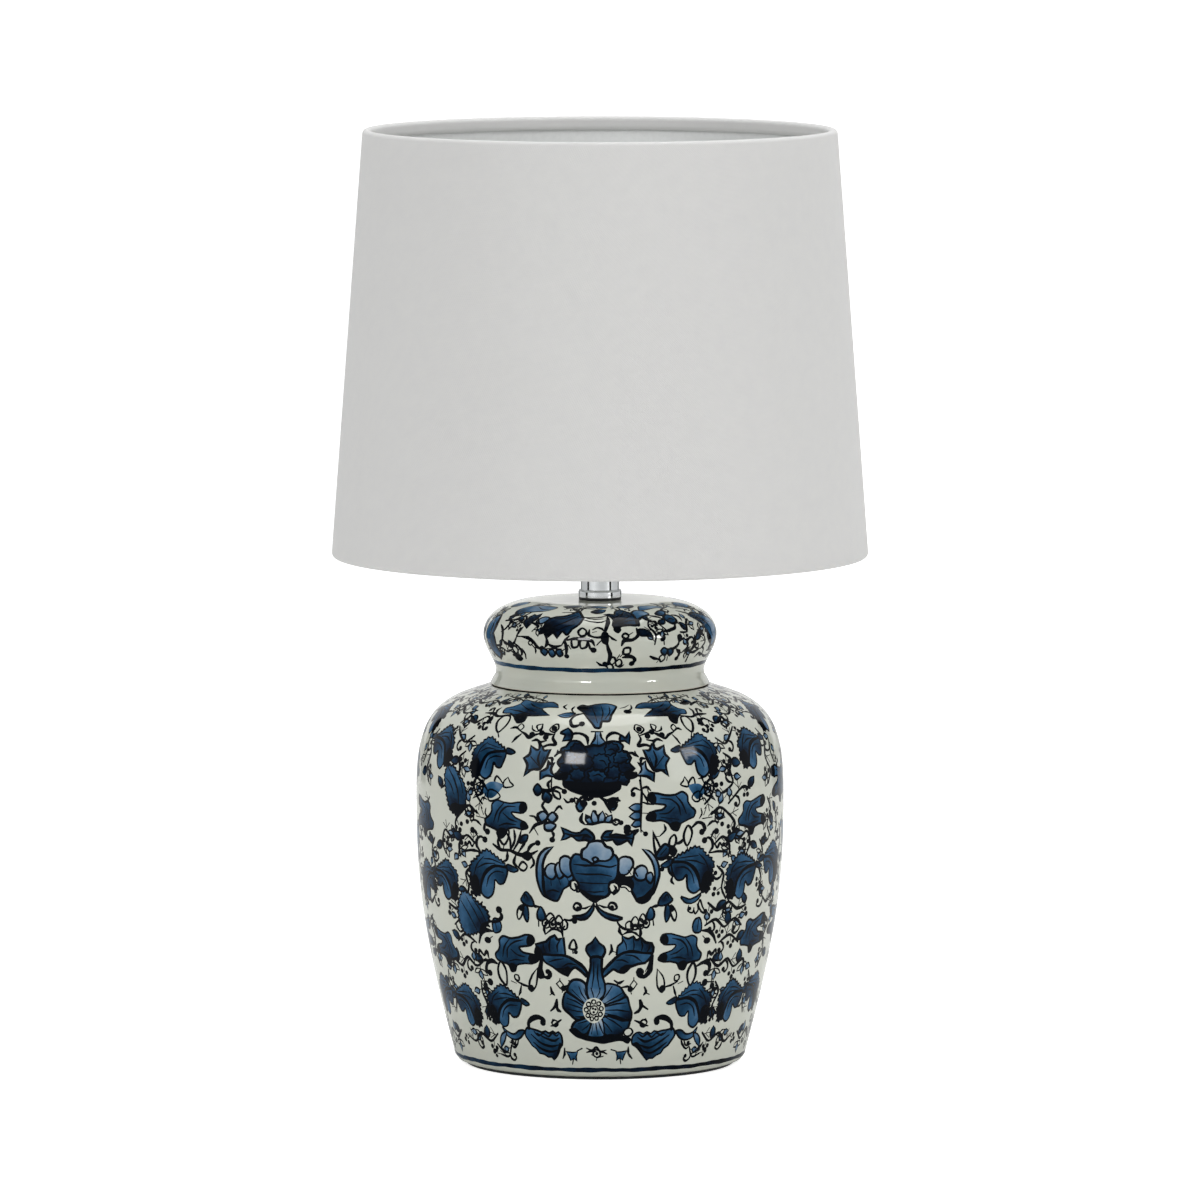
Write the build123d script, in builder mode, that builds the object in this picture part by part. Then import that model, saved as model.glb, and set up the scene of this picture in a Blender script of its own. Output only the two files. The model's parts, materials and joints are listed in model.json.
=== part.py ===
from build123d import *
from math import cos, radians, sin
import os

os.makedirs("parts", exist_ok=True)

# Ginger jar lamp. Millimetres, +Z up, +Y to the back where the cord hole is.
# The origin is on the axis of the jar, on the plane that the felt stands on.

# ---------------------------------------------------------------- sizes: jar
felt_thickness = 1.5
felt_inset = 0.5  # the felt stops this far inside the foot's edge
foot_recess_radius = 68.0
foot_recess_depth = 16.5
foot_ring_width = 8.0
foot_side_growth = 5.9  # each growth and rise is counted from the point before it
foot_side_rise = 5.7
foot_side_lean = 0.27  # outwards, for each mm up
ankle_growth = 7.0
ankle_rise = 27.3
flank_growth = 12.2
flank_rise = 67.7
belly_growth = 1.9
belly_rise = 44.8
shoulder_inset = 2.8
shoulder_rise = 35.0
shoulder_bend_inset = 6.5
shoulder_bend_rise = 14.0
shoulder_turn_inset = 9.6
shoulder_turn_rise = 8.3
shoulder_turn_lean = 45.0  # degrees
neck_root_rise = 7.1
neck_root_slope = 0.36  # up, for each mm inwards
neck_spread = 7.7  # from the ledge out to the neck's root
neck_rise = 4.8  # up to the ledge for the lid
neck_proud = 0.2  # the neck stands this far outside the lid's skirt
jar_wall = 5.0
jar_floor = 6.0
floor_corner_outset = 10.0  # outside the recess under the floor
mouth_radius = 48.5
rim_wall = 4.5  # the unglazed collar inside the lid
rim_height = 16.0
rim_rounding = 1.35

# ---------------------------------------------------------------- sizes: lid
gasket_thickness = 0.8
gasket_inset = 0.7
lid_play = 0.6  # all round, between the lid's skirt and the rim
lid_wall = 4.5
skirt_rise = 3.5
flare_growth = 2.8
flare_rise = 8.3
brim_growth = 4.4
brim_rise = 13.1
dome_inset = 3.0
dome_rise = 8.4
dome_turn_inset = 8.2
dome_turn_rise = 6.2
dome_turn_lean = 60.0  # degrees
crown_radius = 34.0
crown_rise = 4.0

# ------------------------------------------------- sizes: lamp tube and neck
tube_radius = 5.0  # M10 x 1 lamp tube
tube_bore_radius = 3.9
tube_end_above_felt = 3.0
tube_chamfer = 0.44
tube_play = 0.4
thread_play = 0.05  # nuts and caps that screw on the tube
base_washer_radius = 22.0
base_washer_thickness = 2.0
lock_washer_radius = 8.4
lock_washer_thickness = 0.8
lock_washer_teeth = 12
lock_tooth_depth = 0.92
lock_tooth_gap = 2.0
base_nut_flats = 17.0
base_nut_height = 5.0
nut_corner_break = 0.8  # share of a nut's corner that is bevelled off
neck_washer_radius = 11.8
neck_washer_thickness = 1.6
collar_radius = 12.2
collar_height = 4.2
collar_rounding = 1.4
neck_nut_flats = 14.0
neck_nut_height = 4.0
sleeve_radius = 10.8
sleeve_wall = 0.8
sleeve_top_wall = 1.2
sleeve_length = 13.5

# -------------------------------------------------------- sizes: lamp holder
cap_foot_radius = 12.6
cap_side_lean = 0.6  # outwards, for each mm up
cap_shoulder_rise = 10.8
cap_height = 18.0
cap_wall = 2.2
cap_boss_radius = 8.0
cap_thread_length = 10.0
cap_spigot_height = 4.0
lock_screw_radius = 1.5
lock_screw_length = 10.4
screw_play = 0.1
screw_slot_width = 0.6
screw_slot_depth = 0.9
holder_radius = 19.7  # crest of the thread that takes the shade rings
holder_wall = 2.7
holder_length = 38.0
holder_thread_pitch = 2.5
holder_thread_depth = 0.7
holder_groove_width = 2.1
holder_thread_turns = 11
holder_plain_foot = 2.0
core_play = 0.2
core_height = 10.0
core_seat_width = 1.2
core_seat_slope = 0.7
guard_lip_width = 2.4
guard_lip_height = 2.0
guard_lip_slope = 1.2
shell_bore_radius = 13.3  # E27 lamp cap and a running clearance
shell_wall = 0.6
shell_height = 19.0
terminal_offset = 9.5
terminal_width = 5.0
terminal_depth = 5.0
terminal_screw_radius = 1.4
contact_hole_radius = 6.0
contact_thickness = 0.5
contact_width = 5.0
contact_span = 9.0
contact_bow = 3.4
contact_bed = 1.0  # left of the core under the bowed leaf
side_contact_height = 9.5

# --------------------------------------------------- sizes: shade and fitter
ring_play = 0.08  # round the thread, between a ring and the holder
seat_play = 0.2  # above and below the fitter plate
shade_ring_radius = 26.5
lower_ring_height = 6.0
upper_ring_height = 7.0
ring_rim_height = 1.8
ring_grips = 24
grip_inset = 1.3
grip_radius = 0.65
fitter_hole_radius = 21.0
fitter_radius = 31.0
fitter_thickness = 1.6
arm_count = 3
arm_radius = 1.7
arm_bite = 2.0  # how far the plate's edge sits in the slot of an arm
arm_play = 0.3
shade_drop = 22.0  # from the middle of the fitter plate to the shade's lower edge
shade_height = 239.0
shade_bottom_radius = 150.0
shade_top_radius = 132.5
ring_wire_radius = 1.6
fold_play = 0.3
fabric_thickness = 0.5
fabric_tuck = 5.0
liner_thickness = 0.5

# --------------------------------------------------------------- sizes: bulb
bulb_cap_radius = 13.2
bulb_cap_height = 19.0
bulb_cap_wall = 1.8
bulb_thread_pitch = 3.62
bulb_thread_start = 2.2
bulb_thread_depth = 0.7
bulb_thread_groove_radius = 1.4
bulb_button_radius = 4.5
bulb_button_height = 1.5
bulb_button_rounding = 0.9
bulb_insulator_height = 4.0
bulb_insulator_lap = 0.4
bulb_seat_play = 0.2
bulb_waist_radius = 13.0
bulb_waist_lean = 0.1  # outwards, for each mm up
bulb_radius = 18.5
bulb_body_height = 25.0
bulb_wall = 1.2
globe_height = 50.0
globe_foot_lean = 0.12
globe_bend_inset = 7.0
globe_bend_rise = 33.0
globe_tip_slope = 0.35
globe_tip_wall = 1.8
board_thickness = 1.6
board_drop = 4.0
chip_count = 6
chip_circle_radius = 9.2
chip_size = 3.0
chip_height = 0.7

# --------------------------------------------------------- sizes: cord inlet
cord_hole_height = 9.5
cord_hole_radius = 5.0
bush_play = 0.1
bush_rounding = 0.9
bush_bore_radius = 3.6
bush_flange_radius = 7.0
bush_flange_thickness = 2.5
bush_flange_gap = 0.7
bush_proud = 3.0  # past the foot, at the height of its axis

# ------------------------------------------------- heights up the lamp's axis
recess_top = felt_thickness + foot_recess_depth
floor_top = recess_top + jar_floor
foot_side_z = felt_thickness + foot_side_rise
ankle_z = foot_side_z + ankle_rise
flank_z = ankle_z + flank_rise
belly_z = flank_z + belly_rise
shoulder_z = belly_z + shoulder_rise
shoulder_bend_z = shoulder_z + shoulder_bend_rise
shoulder_turn_z = shoulder_bend_z + shoulder_turn_rise
neck_root_z = shoulder_turn_z + neck_root_rise
ledge_z = neck_root_z + neck_rise
rim_z = ledge_z + rim_height
lid_base_z = ledge_z + gasket_thickness
skirt_z = lid_base_z + skirt_rise
flare_z = skirt_z + flare_rise
brim_z = flare_z + brim_rise
dome_z = brim_z + dome_rise
dome_turn_z = dome_z + dome_turn_rise
crown_z = dome_turn_z + crown_rise
collar_z = crown_z + neck_washer_thickness
sleeve_z = collar_z + collar_height
cap_z = sleeve_z + sleeve_length
holder_z = cap_z + cap_height
core_z = holder_z + cap_spigot_height
shell_z = core_z + core_height
holder_top_z = holder_z + holder_length
lower_ring_z = holder_z + holder_plain_foot
fitter_z = lower_ring_z + lower_ring_height + seat_play
upper_ring_z = fitter_z + fitter_thickness + seat_play
shade_base_z = fitter_z + fitter_thickness / 2 - shade_drop
bulb_z = shell_z + shell_wall + contact_bow + bulb_seat_play
bulb_cap_z = bulb_z + bulb_button_height + bulb_insulator_height
bulb_body_z = bulb_cap_z + bulb_cap_height
globe_z = bulb_body_z + bulb_body_height

# ----------------------------------------------------- radii that must match
rim_radius = mouth_radius + rim_wall
lid_skirt_inner = rim_radius + lid_play
lid_skirt_radius = lid_skirt_inner + lid_wall
neck_radius = lid_skirt_radius + neck_proud
neck_root_radius = neck_radius + neck_spread
foot_flat_radius = foot_recess_radius + foot_ring_width
foot_side_radius = foot_flat_radius + foot_side_growth
ankle_radius = foot_side_radius + ankle_growth
flank_radius = ankle_radius + flank_growth
belly_radius = flank_radius + belly_growth
shoulder_radius = belly_radius - shoulder_inset
shoulder_bend_radius = shoulder_radius - shoulder_bend_inset
shoulder_turn_radius = shoulder_bend_radius - shoulder_turn_inset
floor_corner_radius = foot_recess_radius + floor_corner_outset
flare_radius = lid_skirt_radius + flare_growth
brim_radius = flare_radius + brim_growth
dome_radius = brim_radius - dome_inset
dome_turn_radius = dome_radius - dome_turn_inset
tube_hole_radius = tube_radius + tube_play
nut_bore_radius = tube_radius + thread_play
holder_inner = holder_radius - holder_wall
core_radius = holder_inner - core_play
shell_radius = shell_bore_radius + shell_wall
ring_bore_radius = holder_radius + ring_play


def rounded_disc(radius, bore, base, height, rounding):
    """A flat ring whose upper outer edge is rounded."""
    with BuildPart() as disc:
        with BuildSketch(Plane.XY.offset(base)):
            Circle(radius)
        extrude(amount=height)
        fillet(disc.edges().filter_by(GeomType.CIRCLE).sort_by(Axis.Z)[-1], rounding)
        with BuildSketch(Plane.XY.offset(base)):
            Circle(bore)
        extrude(amount=height, mode=Mode.SUBTRACT)
    return disc


def hex_nut(flats, bore, base, height):
    """A hexagon nut with its corners broken on both faces."""
    with BuildPart() as nut:
        with BuildSketch(Plane.XY.offset(base)):
            RegularPolygon(flats / 2, 6, major_radius=False)
            Circle(bore, mode=Mode.SUBTRACT)
        extrude(amount=height)
        corner = flats / 2 / cos(radians(30))
        bevel = (corner - flats / 2) * nut_corner_break
        with BuildSketch(Plane.XZ):
            with BuildLine():
                Polyline(
                    (bore, base),
                    (corner - bevel, base),
                    (corner, base + bevel / 2),
                    (corner, base + height - bevel / 2),
                    (corner - bevel, base + height),
                    (bore, base + height),
                    close=True,
                )
            make_face()
        revolve(axis=Axis.Z, mode=Mode.INTERSECT)
    return nut


# ============================================================ the ginger jar
with BuildPart() as jar_body:
    with BuildSketch(Plane.XZ):
        with BuildLine():
            foot_flat = Line((foot_recess_radius, felt_thickness), (foot_flat_radius, felt_thickness))
            foot_turn = TangentArc(foot_flat @ 1, (foot_side_radius, foot_side_z), tangent=(1, 0))
            flank = Spline(
                foot_turn @ 1,
                (ankle_radius, ankle_z),
                (flank_radius, flank_z),
                (belly_radius, belly_z),
                tangents=[(foot_side_lean, 1), (0, 1)],
            )
            shoulder = Spline(
                flank @ 1,
                (shoulder_radius, shoulder_z),
                (shoulder_bend_radius, shoulder_bend_z),
                (shoulder_turn_radius, shoulder_turn_z),
                (neck_root_radius, neck_root_z),
                tangents=[(0, 1), (-1, neck_root_slope)],
            )
            neck_fillet = Spline(
                shoulder @ 1,
                (neck_radius, ledge_z),
                tangents=[(-1, neck_root_slope), (0, 1)],
            )
            Polyline(
                neck_fillet @ 1,
                (rim_radius, ledge_z),
                (rim_radius, rim_z),
                (mouth_radius, rim_z),
                (mouth_radius, neck_root_z - jar_wall),
                (neck_root_radius - jar_wall / 2, neck_root_z - jar_wall),
            )
            lean = jar_wall * sin(radians(shoulder_turn_lean))
            Spline(
                (neck_root_radius - jar_wall / 2, neck_root_z - jar_wall),
                (shoulder_turn_radius - lean, shoulder_turn_z - lean),
                (shoulder_bend_radius - jar_wall, shoulder_bend_z - jar_wall / 4),
                (shoulder_radius - jar_wall, shoulder_z),
                (belly_radius - jar_wall, belly_z),
                (flank_radius - jar_wall, flank_z),
                (floor_corner_radius, floor_top),
            )
            Polyline(
                (floor_corner_radius, floor_top),
                (tube_hole_radius, floor_top),
                (tube_hole_radius, recess_top),
                (foot_recess_radius, recess_top),
                foot_flat @ 0,
            )
        make_face()
    revolve(axis=Axis.Z)
    fillet(jar_body.edges().filter_by(GeomType.CIRCLE).group_by(Axis.Z)[-1], rim_rounding)
    # the hole for the cord goes in at the back, through the foot, under the floor
    with BuildSketch(Plane.XZ.offset(-foot_recess_radius / 2)):
        with Locations((0, cord_hole_height)):
            Circle(cord_hole_radius)
    extrude(amount=-(foot_side_radius - foot_recess_radius / 2 + bush_proud), mode=Mode.SUBTRACT)
jar_body.part.label = "jar_body"

with BuildPart() as jar_lid:
    with BuildSketch(Plane.XZ):
        with BuildLine():
            outside = Spline(
                (lid_skirt_radius, lid_base_z),
                (lid_skirt_radius, skirt_z),
                (flare_radius, flare_z),
                (brim_radius, brim_z),
                (dome_radius, dome_z),
                (dome_turn_radius, dome_turn_z),
                (crown_radius, crown_z),
                tangents=[(0, 1), (-1, 0)],
            )
            Polyline(
                outside @ 1,
                (tube_hole_radius, crown_z),
                (tube_hole_radius, crown_z - lid_wall),
                (crown_radius, crown_z - lid_wall),
            )
            bend = lid_wall * sin(radians(dome_turn_lean))
            Spline(
                (crown_radius, crown_z - lid_wall),
                (dome_turn_radius - lid_wall / 2, dome_turn_z - bend),
                (dome_radius - bend, dome_z - lid_wall / 2),
                (brim_radius - lid_wall, brim_z),
                (flare_radius - lid_wall, flare_z + lid_wall / 4),
                (lid_skirt_inner, skirt_z),
                tangents=[(1, 0), (0, -1)],
            )
            Polyline((lid_skirt_inner, skirt_z), (lid_skirt_inner, lid_base_z), outside @ 0)
        make_face()
    revolve(axis=Axis.Z)
jar_lid.part.label = "jar_lid"

with BuildPart() as lid_gasket:
    with BuildSketch(Plane.XY.offset(ledge_z)):
        Circle(lid_skirt_radius - gasket_inset)
        Circle(rim_radius + lid_play / 2, mode=Mode.SUBTRACT)
    extrude(amount=gasket_thickness)
lid_gasket.part.label = "lid_gasket"

with BuildPart() as foot_felt:
    with BuildSketch(Plane.XY):
        Circle(foot_flat_radius - felt_inset)
    extrude(amount=felt_thickness)
foot_felt.part.label = "foot_felt"

with BuildPart() as cord_bush:
    bush_inner_end = foot_recess_radius - bush_flange_gap
    bush_outer_end = foot_side_radius + bush_proud
    with BuildSketch(Plane.YZ):
        with BuildLine():
            Polyline(
                (bush_inner_end - bush_flange_thickness, cord_hole_height + bush_bore_radius),
                (bush_inner_end - bush_flange_thickness, cord_hole_height + bush_flange_radius),
                (bush_inner_end, cord_hole_height + bush_flange_radius),
                (bush_inner_end, cord_hole_height + cord_hole_radius - bush_play),
                (bush_outer_end, cord_hole_height + cord_hole_radius - bush_play),
                (bush_outer_end, cord_hole_height + bush_bore_radius),
                close=True,
            )
        make_face()
    revolve(axis=Axis((0, 0, cord_hole_height), (0, 1, 0)))
    fillet(
        cord_bush.edges().filter_by(GeomType.CIRCLE).group_by(Axis.Y)[-1].sort_by(SortBy.RADIUS)[-1],
        bush_rounding,
    )
cord_bush.part.label = "cord_bush"

# ========================================================= lamp tube and neck
with BuildPart() as lamp_tube:
    tube_base_z = felt_thickness + tube_end_above_felt
    with BuildSketch(Plane.XY.offset(tube_base_z)):
        Circle(tube_radius)
        Circle(tube_bore_radius, mode=Mode.SUBTRACT)
    extrude(amount=cap_z + cap_thread_length - tube_base_z)
    tube_ends = lamp_tube.edges().filter_by(GeomType.CIRCLE).group_by(SortBy.RADIUS)[-1]
    chamfer(tube_ends, tube_chamfer)
lamp_tube.part.label = "lamp_tube"

base_washer_z = recess_top - base_washer_thickness
lock_washer_z = base_washer_z - lock_washer_thickness

with BuildPart() as base_washer:
    with BuildSketch(Plane.XY.offset(base_washer_z)):
        Circle(base_washer_radius)
        Circle(tube_hole_radius, mode=Mode.SUBTRACT)
    extrude(amount=base_washer_thickness)
base_washer.part.label = "base_washer"

with BuildPart() as lock_washer:
    with BuildSketch(Plane.XY.offset(lock_washer_z)):
        Circle(lock_washer_radius)
        Circle(tube_hole_radius, mode=Mode.SUBTRACT)
        with PolarLocations(lock_washer_radius, lock_washer_teeth):
            Rectangle(2 * lock_tooth_depth, lock_tooth_gap, mode=Mode.SUBTRACT)
    extrude(amount=lock_washer_thickness)
lock_washer.part.label = "lock_washer"

base_nut = hex_nut(base_nut_flats, nut_bore_radius, lock_washer_z - base_nut_height, base_nut_height)
base_nut.part.label = "base_nut"

with BuildPart() as neck_washer:
    with BuildSketch(Plane.XY.offset(crown_z)):
        Circle(neck_washer_radius)
        Circle(tube_hole_radius, mode=Mode.SUBTRACT)
    extrude(amount=neck_washer_thickness)
neck_washer.part.label = "neck_washer"

neck_collar = rounded_disc(collar_radius, tube_hole_radius, collar_z, collar_height, collar_rounding)
neck_collar.part.label = "neck_collar"

neck_nut = hex_nut(neck_nut_flats, nut_bore_radius, sleeve_z, neck_nut_height)
neck_nut.part.label = "neck_nut"

with BuildPart() as neck_sleeve:
    with BuildSketch(Plane.XY.offset(sleeve_z)):
        Circle(sleeve_radius)
    extrude(amount=sleeve_length)
    with BuildSketch(Plane.XY.offset(sleeve_z)):
        Circle(sleeve_radius - sleeve_wall)
    extrude(amount=sleeve_length - sleeve_top_wall, mode=Mode.SUBTRACT)
    with BuildSketch(Plane.XY.offset(sleeve_z)):
        Circle(tube_hole_radius)
    extrude(amount=sleeve_length, mode=Mode.SUBTRACT)
neck_sleeve.part.label = "neck_sleeve"

# ============================================================ the lamp holder
lock_screw_z = cap_z + cap_thread_length / 2
lock_screw_reach = nut_bore_radius + lock_screw_length

with BuildPart() as holder_cap:
    cap_spigot_radius = core_radius
    cap_shoulder_z = cap_z + cap_shoulder_rise
    with BuildSketch(Plane.XZ):
        with BuildLine():
            cap_foot = Line((nut_bore_radius, cap_z), (cap_foot_radius, cap_z))
            cap_side = Spline(
                cap_foot @ 1,
                (holder_radius, cap_shoulder_z),
                tangents=[(cap_side_lean, 1), (0, 1)],
            )
            Polyline(
                cap_side @ 1,
                (holder_radius, holder_z),
                (cap_spigot_radius, holder_z),
                (cap_spigot_radius, core_z),
                (cap_spigot_radius - cap_wall, core_z),
                (cap_spigot_radius - cap_wall, cap_shoulder_z),
                (cap_boss_radius, cap_shoulder_z - cap_wall),
                (cap_boss_radius, cap_z + cap_thread_length),
                (nut_bore_radius, cap_z + cap_thread_length),
                cap_foot @ 0,
            )
        make_face()
    revolve(axis=Axis.Z)
    with BuildSketch(Plane.YZ.offset(tube_radius)):
        with Locations((0, lock_screw_z)):
            Circle(lock_screw_radius + screw_play)
    extrude(amount=holder_radius, mode=Mode.SUBTRACT)
holder_cap.part.label = "holder_cap"

with BuildPart() as cap_lock_screw:
    with BuildSketch(Plane.YZ.offset(nut_bore_radius)):
        with Locations((0, lock_screw_z)):
            Circle(lock_screw_radius)
    extrude(amount=lock_screw_length)
    with BuildSketch(Plane.YZ.offset(lock_screw_reach)):
        with Locations((0, lock_screw_z)):
            Rectangle(2 * cap_wall, screw_slot_width)
    extrude(amount=-screw_slot_depth, mode=Mode.SUBTRACT)
cap_lock_screw.part.label = "cap_lock_screw"

with BuildPart() as holder_skirt:
    seat_inner = core_radius - core_seat_width
    lip_inner = holder_inner - guard_lip_width
    with BuildSketch(Plane.XZ):
        with BuildLine():
            Polyline(
                (holder_inner, holder_z),
                (holder_radius, holder_z),
                (holder_radius, holder_top_z),
                (lip_inner, holder_top_z),
                (lip_inner, holder_top_z - guard_lip_height),
                (holder_inner, holder_top_z - guard_lip_height - guard_lip_slope),
                (holder_inner, shell_z + core_seat_width + core_seat_slope),
                (seat_inner, shell_z + core_seat_width),
                (seat_inner, shell_z + core_play / 2),
                (holder_inner, shell_z + core_play / 2),
                close=True,
            )
        make_face()
    revolve(axis=Axis.Z)
    # grooves of the shade-ring thread, drawn as rings one pitch apart
    with BuildSketch(Plane.XZ):
        for turn in range(holder_thread_turns):
            groove_z = holder_z + holder_plain_foot + (turn + 0.5) * holder_thread_pitch
            with BuildLine():
                Polyline(
                    (holder_radius + holder_thread_depth, groove_z - holder_groove_width / 2),
                    (holder_radius - holder_thread_depth, groove_z),
                    (holder_radius + holder_thread_depth, groove_z + holder_groove_width / 2),
                    close=True,
                )
            make_face()
    revolve(axis=Axis.Z, mode=Mode.SUBTRACT)
    fillet(
        holder_skirt.edges().filter_by(GeomType.CIRCLE).group_by(Axis.Z)[-1].sort_by(SortBy.RADIUS)[-1],
        holder_thread_depth,
    )
holder_skirt.part.label = "holder_skirt"

with BuildPart() as holder_core:
    with BuildSketch(Plane.XY.offset(core_z)):
        Circle(core_radius)
    extrude(amount=core_height)
    with BuildSketch(Plane.XY.offset(core_z)):
        with Locations((terminal_offset, 0), (-terminal_offset, 0)):
            Rectangle(terminal_width + 2 * core_play, terminal_width + 2 * core_play)
    extrude(amount=terminal_depth + core_play, mode=Mode.SUBTRACT)
    with BuildSketch(Plane.XY.offset(core_z)):
        Rectangle(contact_width, contact_width)
    extrude(amount=core_height - contact_bed, mode=Mode.SUBTRACT)
holder_core.part.label = "holder_core"

with BuildPart() as terminal_blocks:
    with BuildSketch(Plane.XY.offset(core_z + core_play)):
        with Locations((terminal_offset, 0), (-terminal_offset, 0)):
            Rectangle(terminal_width, terminal_width)
            Circle(terminal_screw_radius + screw_play, mode=Mode.SUBTRACT)
    extrude(amount=terminal_depth)
terminal_blocks.part.label = "terminal_blocks"

with BuildPart() as terminal_screws:
    with BuildSketch(Plane.XY.offset(core_z - terminal_screw_radius)):
        with Locations((terminal_offset, 0), (-terminal_offset, 0)):
            Circle(terminal_screw_radius)
    extrude(amount=terminal_depth)
    with BuildSketch(Plane.XY.offset(core_z - terminal_screw_radius)):
        with Locations((terminal_offset, 0), (-terminal_offset, 0)):
            Rectangle(terminal_width, screw_slot_width)
    extrude(amount=screw_slot_depth, mode=Mode.SUBTRACT)
terminal_screws.part.label = "terminal_screws"

with BuildPart() as screw_shell:
    with BuildSketch(Plane.XY.offset(shell_z)):
        Circle(shell_radius)
    extrude(amount=shell_height)
    with BuildSketch(Plane.XY.offset(shell_z + shell_wall)):
        Circle(shell_bore_radius)
    extrude(amount=shell_height, mode=Mode.SUBTRACT)
    with BuildSketch(Plane.XY.offset(shell_z)):
        Circle(contact_hole_radius)
    extrude(amount=shell_wall, mode=Mode.SUBTRACT)
screw_shell.part.label = "screw_shell"

with BuildPart() as centre_contact:
    # a bowed leaf on the core, inside the hole of the shell's floor
    contact_top = bulb_z - bulb_seat_play
    half_span = contact_span / 2
    with BuildSketch(Plane.XZ.offset(-contact_width / 2)):
        with BuildLine():
            ThreePointArc((-half_span, shell_z), (0, contact_top), (half_span, shell_z))
            Line((half_span, shell_z), (half_span - contact_thickness, shell_z))
            ThreePointArc(
                (half_span - contact_thickness, shell_z),
                (0, contact_top - contact_thickness),
                (contact_thickness - half_span, shell_z),
            )
            Line((contact_thickness - half_span, shell_z), (-half_span, shell_z))
        make_face()
    extrude(amount=contact_width)
centre_contact.part.label = "centre_contact"

with BuildPart() as side_contact:
    # a strip up the outside of the shell, bent in under its floor to the terminal
    strip_inner = shell_radius + screw_play
    with BuildSketch(Plane.XY.offset(shell_z)):
        with Locations((strip_inner + contact_thickness / 2, 0)):
            Rectangle(contact_thickness, contact_width)
    extrude(amount=side_contact_height)
side_contact.part.label = "side_contact"

# ============================================================ the shade rings
def shade_ring(base, height, rim_at_top):
    """A screw ring for the shade: a gripped body with a plain rim on one side."""
    rim_z_low = base + height - ring_rim_height if rim_at_top else base
    grip_z = base if rim_at_top else base + ring_rim_height
    with BuildPart() as ring:
        with BuildSketch(Plane.XY.offset(base)):
            Circle(shade_ring_radius - grip_inset)
        extrude(amount=height)
        with BuildSketch(Plane.XY.offset(grip_z)):
            with PolarLocations(shade_ring_radius - grip_inset, ring_grips):
                Circle(grip_radius)
        extrude(amount=height - ring_rim_height)
        with BuildSketch(Plane.XY.offset(rim_z_low)):
            Circle(shade_ring_radius)
        extrude(amount=ring_rim_height)
        with BuildSketch(Plane.XY.offset(base)):
            Circle(ring_bore_radius)
        extrude(amount=height, mode=Mode.SUBTRACT)
    return ring


lower_shade_ring = shade_ring(lower_ring_z, lower_ring_height, True)
lower_shade_ring.part.label = "lower_shade_ring"
upper_shade_ring = shade_ring(upper_ring_z, upper_ring_height, False)
upper_shade_ring.part.label = "upper_shade_ring"

# ================================================================== the shade
# The wall runs between the centres of the two wire rings. The fabric folds
# round each wire, so the folded edges stand one roll radius past the centres.
fold_radius = ring_wire_radius + fold_play
roll_radius = fold_radius + fabric_thickness
wall_bottom = Vector(shade_bottom_radius - roll_radius, 0, shade_base_z + roll_radius)
wall_top = Vector(shade_top_radius - roll_radius, 0, shade_base_z + shade_height - roll_radius)
wall_length = (wall_top - wall_bottom).length
wall_plane = Plane((wall_bottom + wall_top) / 2, x_dir=wall_top - wall_bottom, z_dir=(0, 1, 0))

# An arm runs from the fitter plate's edge down to the bottom wire ring.
arm_inner = Vector(fitter_radius - arm_bite, 0, fitter_z + fitter_thickness / 2)
arm_length = (wall_bottom - arm_inner).length
arm_angles = [90 + turn * 360 / arm_count for turn in range(arm_count)]


def arm_plane(angle):
    """The plane square to an arm at its inner end, with the arm along its normal."""
    return Plane(
        arm_inner.rotate(Axis.Z, angle),
        x_dir=Vector(0, 1, 0).rotate(Axis.Z, angle),
        z_dir=(wall_bottom - arm_inner).rotate(Axis.Z, angle),
    )


def wire_ring(centre):
    """A closed ring of round wire through a point of the wall."""
    with BuildPart() as ring:
        with BuildSketch(Plane.XZ):
            with Locations((centre.X, centre.Z)):
                Circle(ring_wire_radius)
        revolve(axis=Axis.Z)
    return ring


shade_bottom_ring = wire_ring(wall_bottom)
shade_bottom_ring.part.label = "shade_bottom_ring"
shade_top_ring = wire_ring(wall_top)
shade_top_ring.part.label = "shade_top_ring"

with BuildPart() as shade_fitter:
    with BuildSketch(Plane.XY.offset(fitter_z)):
        Circle(fitter_radius)
        Circle(fitter_hole_radius, mode=Mode.SUBTRACT)
    extrude(amount=fitter_thickness)
shade_fitter.part.label = "shade_fitter"

with BuildPart() as fitter_arms:
    for angle in arm_angles:
        with BuildSketch(arm_plane(angle)):
            Circle(arm_radius)
        extrude(amount=arm_length)
    add(shade_fitter.part, mode=Mode.SUBTRACT)
    add(shade_bottom_ring.part, mode=Mode.SUBTRACT)
fitter_arms.part.label = "fitter_arms"

with BuildPart() as shade_fabric:
    with BuildSketch(wall_plane):
        SlotCenterToCenter(wall_length, 2 * roll_radius)
        SlotCenterToCenter(wall_length, 2 * fold_radius, mode=Mode.SUBTRACT)
        with Locations((0, -roll_radius)):
            Rectangle(wall_length - 2 * fabric_tuck, 2 * roll_radius, mode=Mode.SUBTRACT)
    revolve(axis=Axis.Z)
    for angle in arm_angles:
        with BuildSketch(arm_plane(angle)):
            Circle(arm_radius + arm_play)
        extrude(amount=arm_length, mode=Mode.SUBTRACT)
shade_fabric.part.label = "shade_fabric"

with BuildPart() as shade_liner:
    with BuildSketch(wall_plane):
        with Locations((0, fold_radius - liner_thickness / 2 - fold_play / 2)):
            Rectangle(wall_length - 2 * fold_radius, liner_thickness)
    revolve(axis=Axis.Z)
    for angle in arm_angles:
        with BuildSketch(arm_plane(angle)):
            Circle(arm_radius + arm_play)
        extrude(amount=arm_length, mode=Mode.SUBTRACT)
shade_liner.part.label = "shade_liner"

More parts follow.
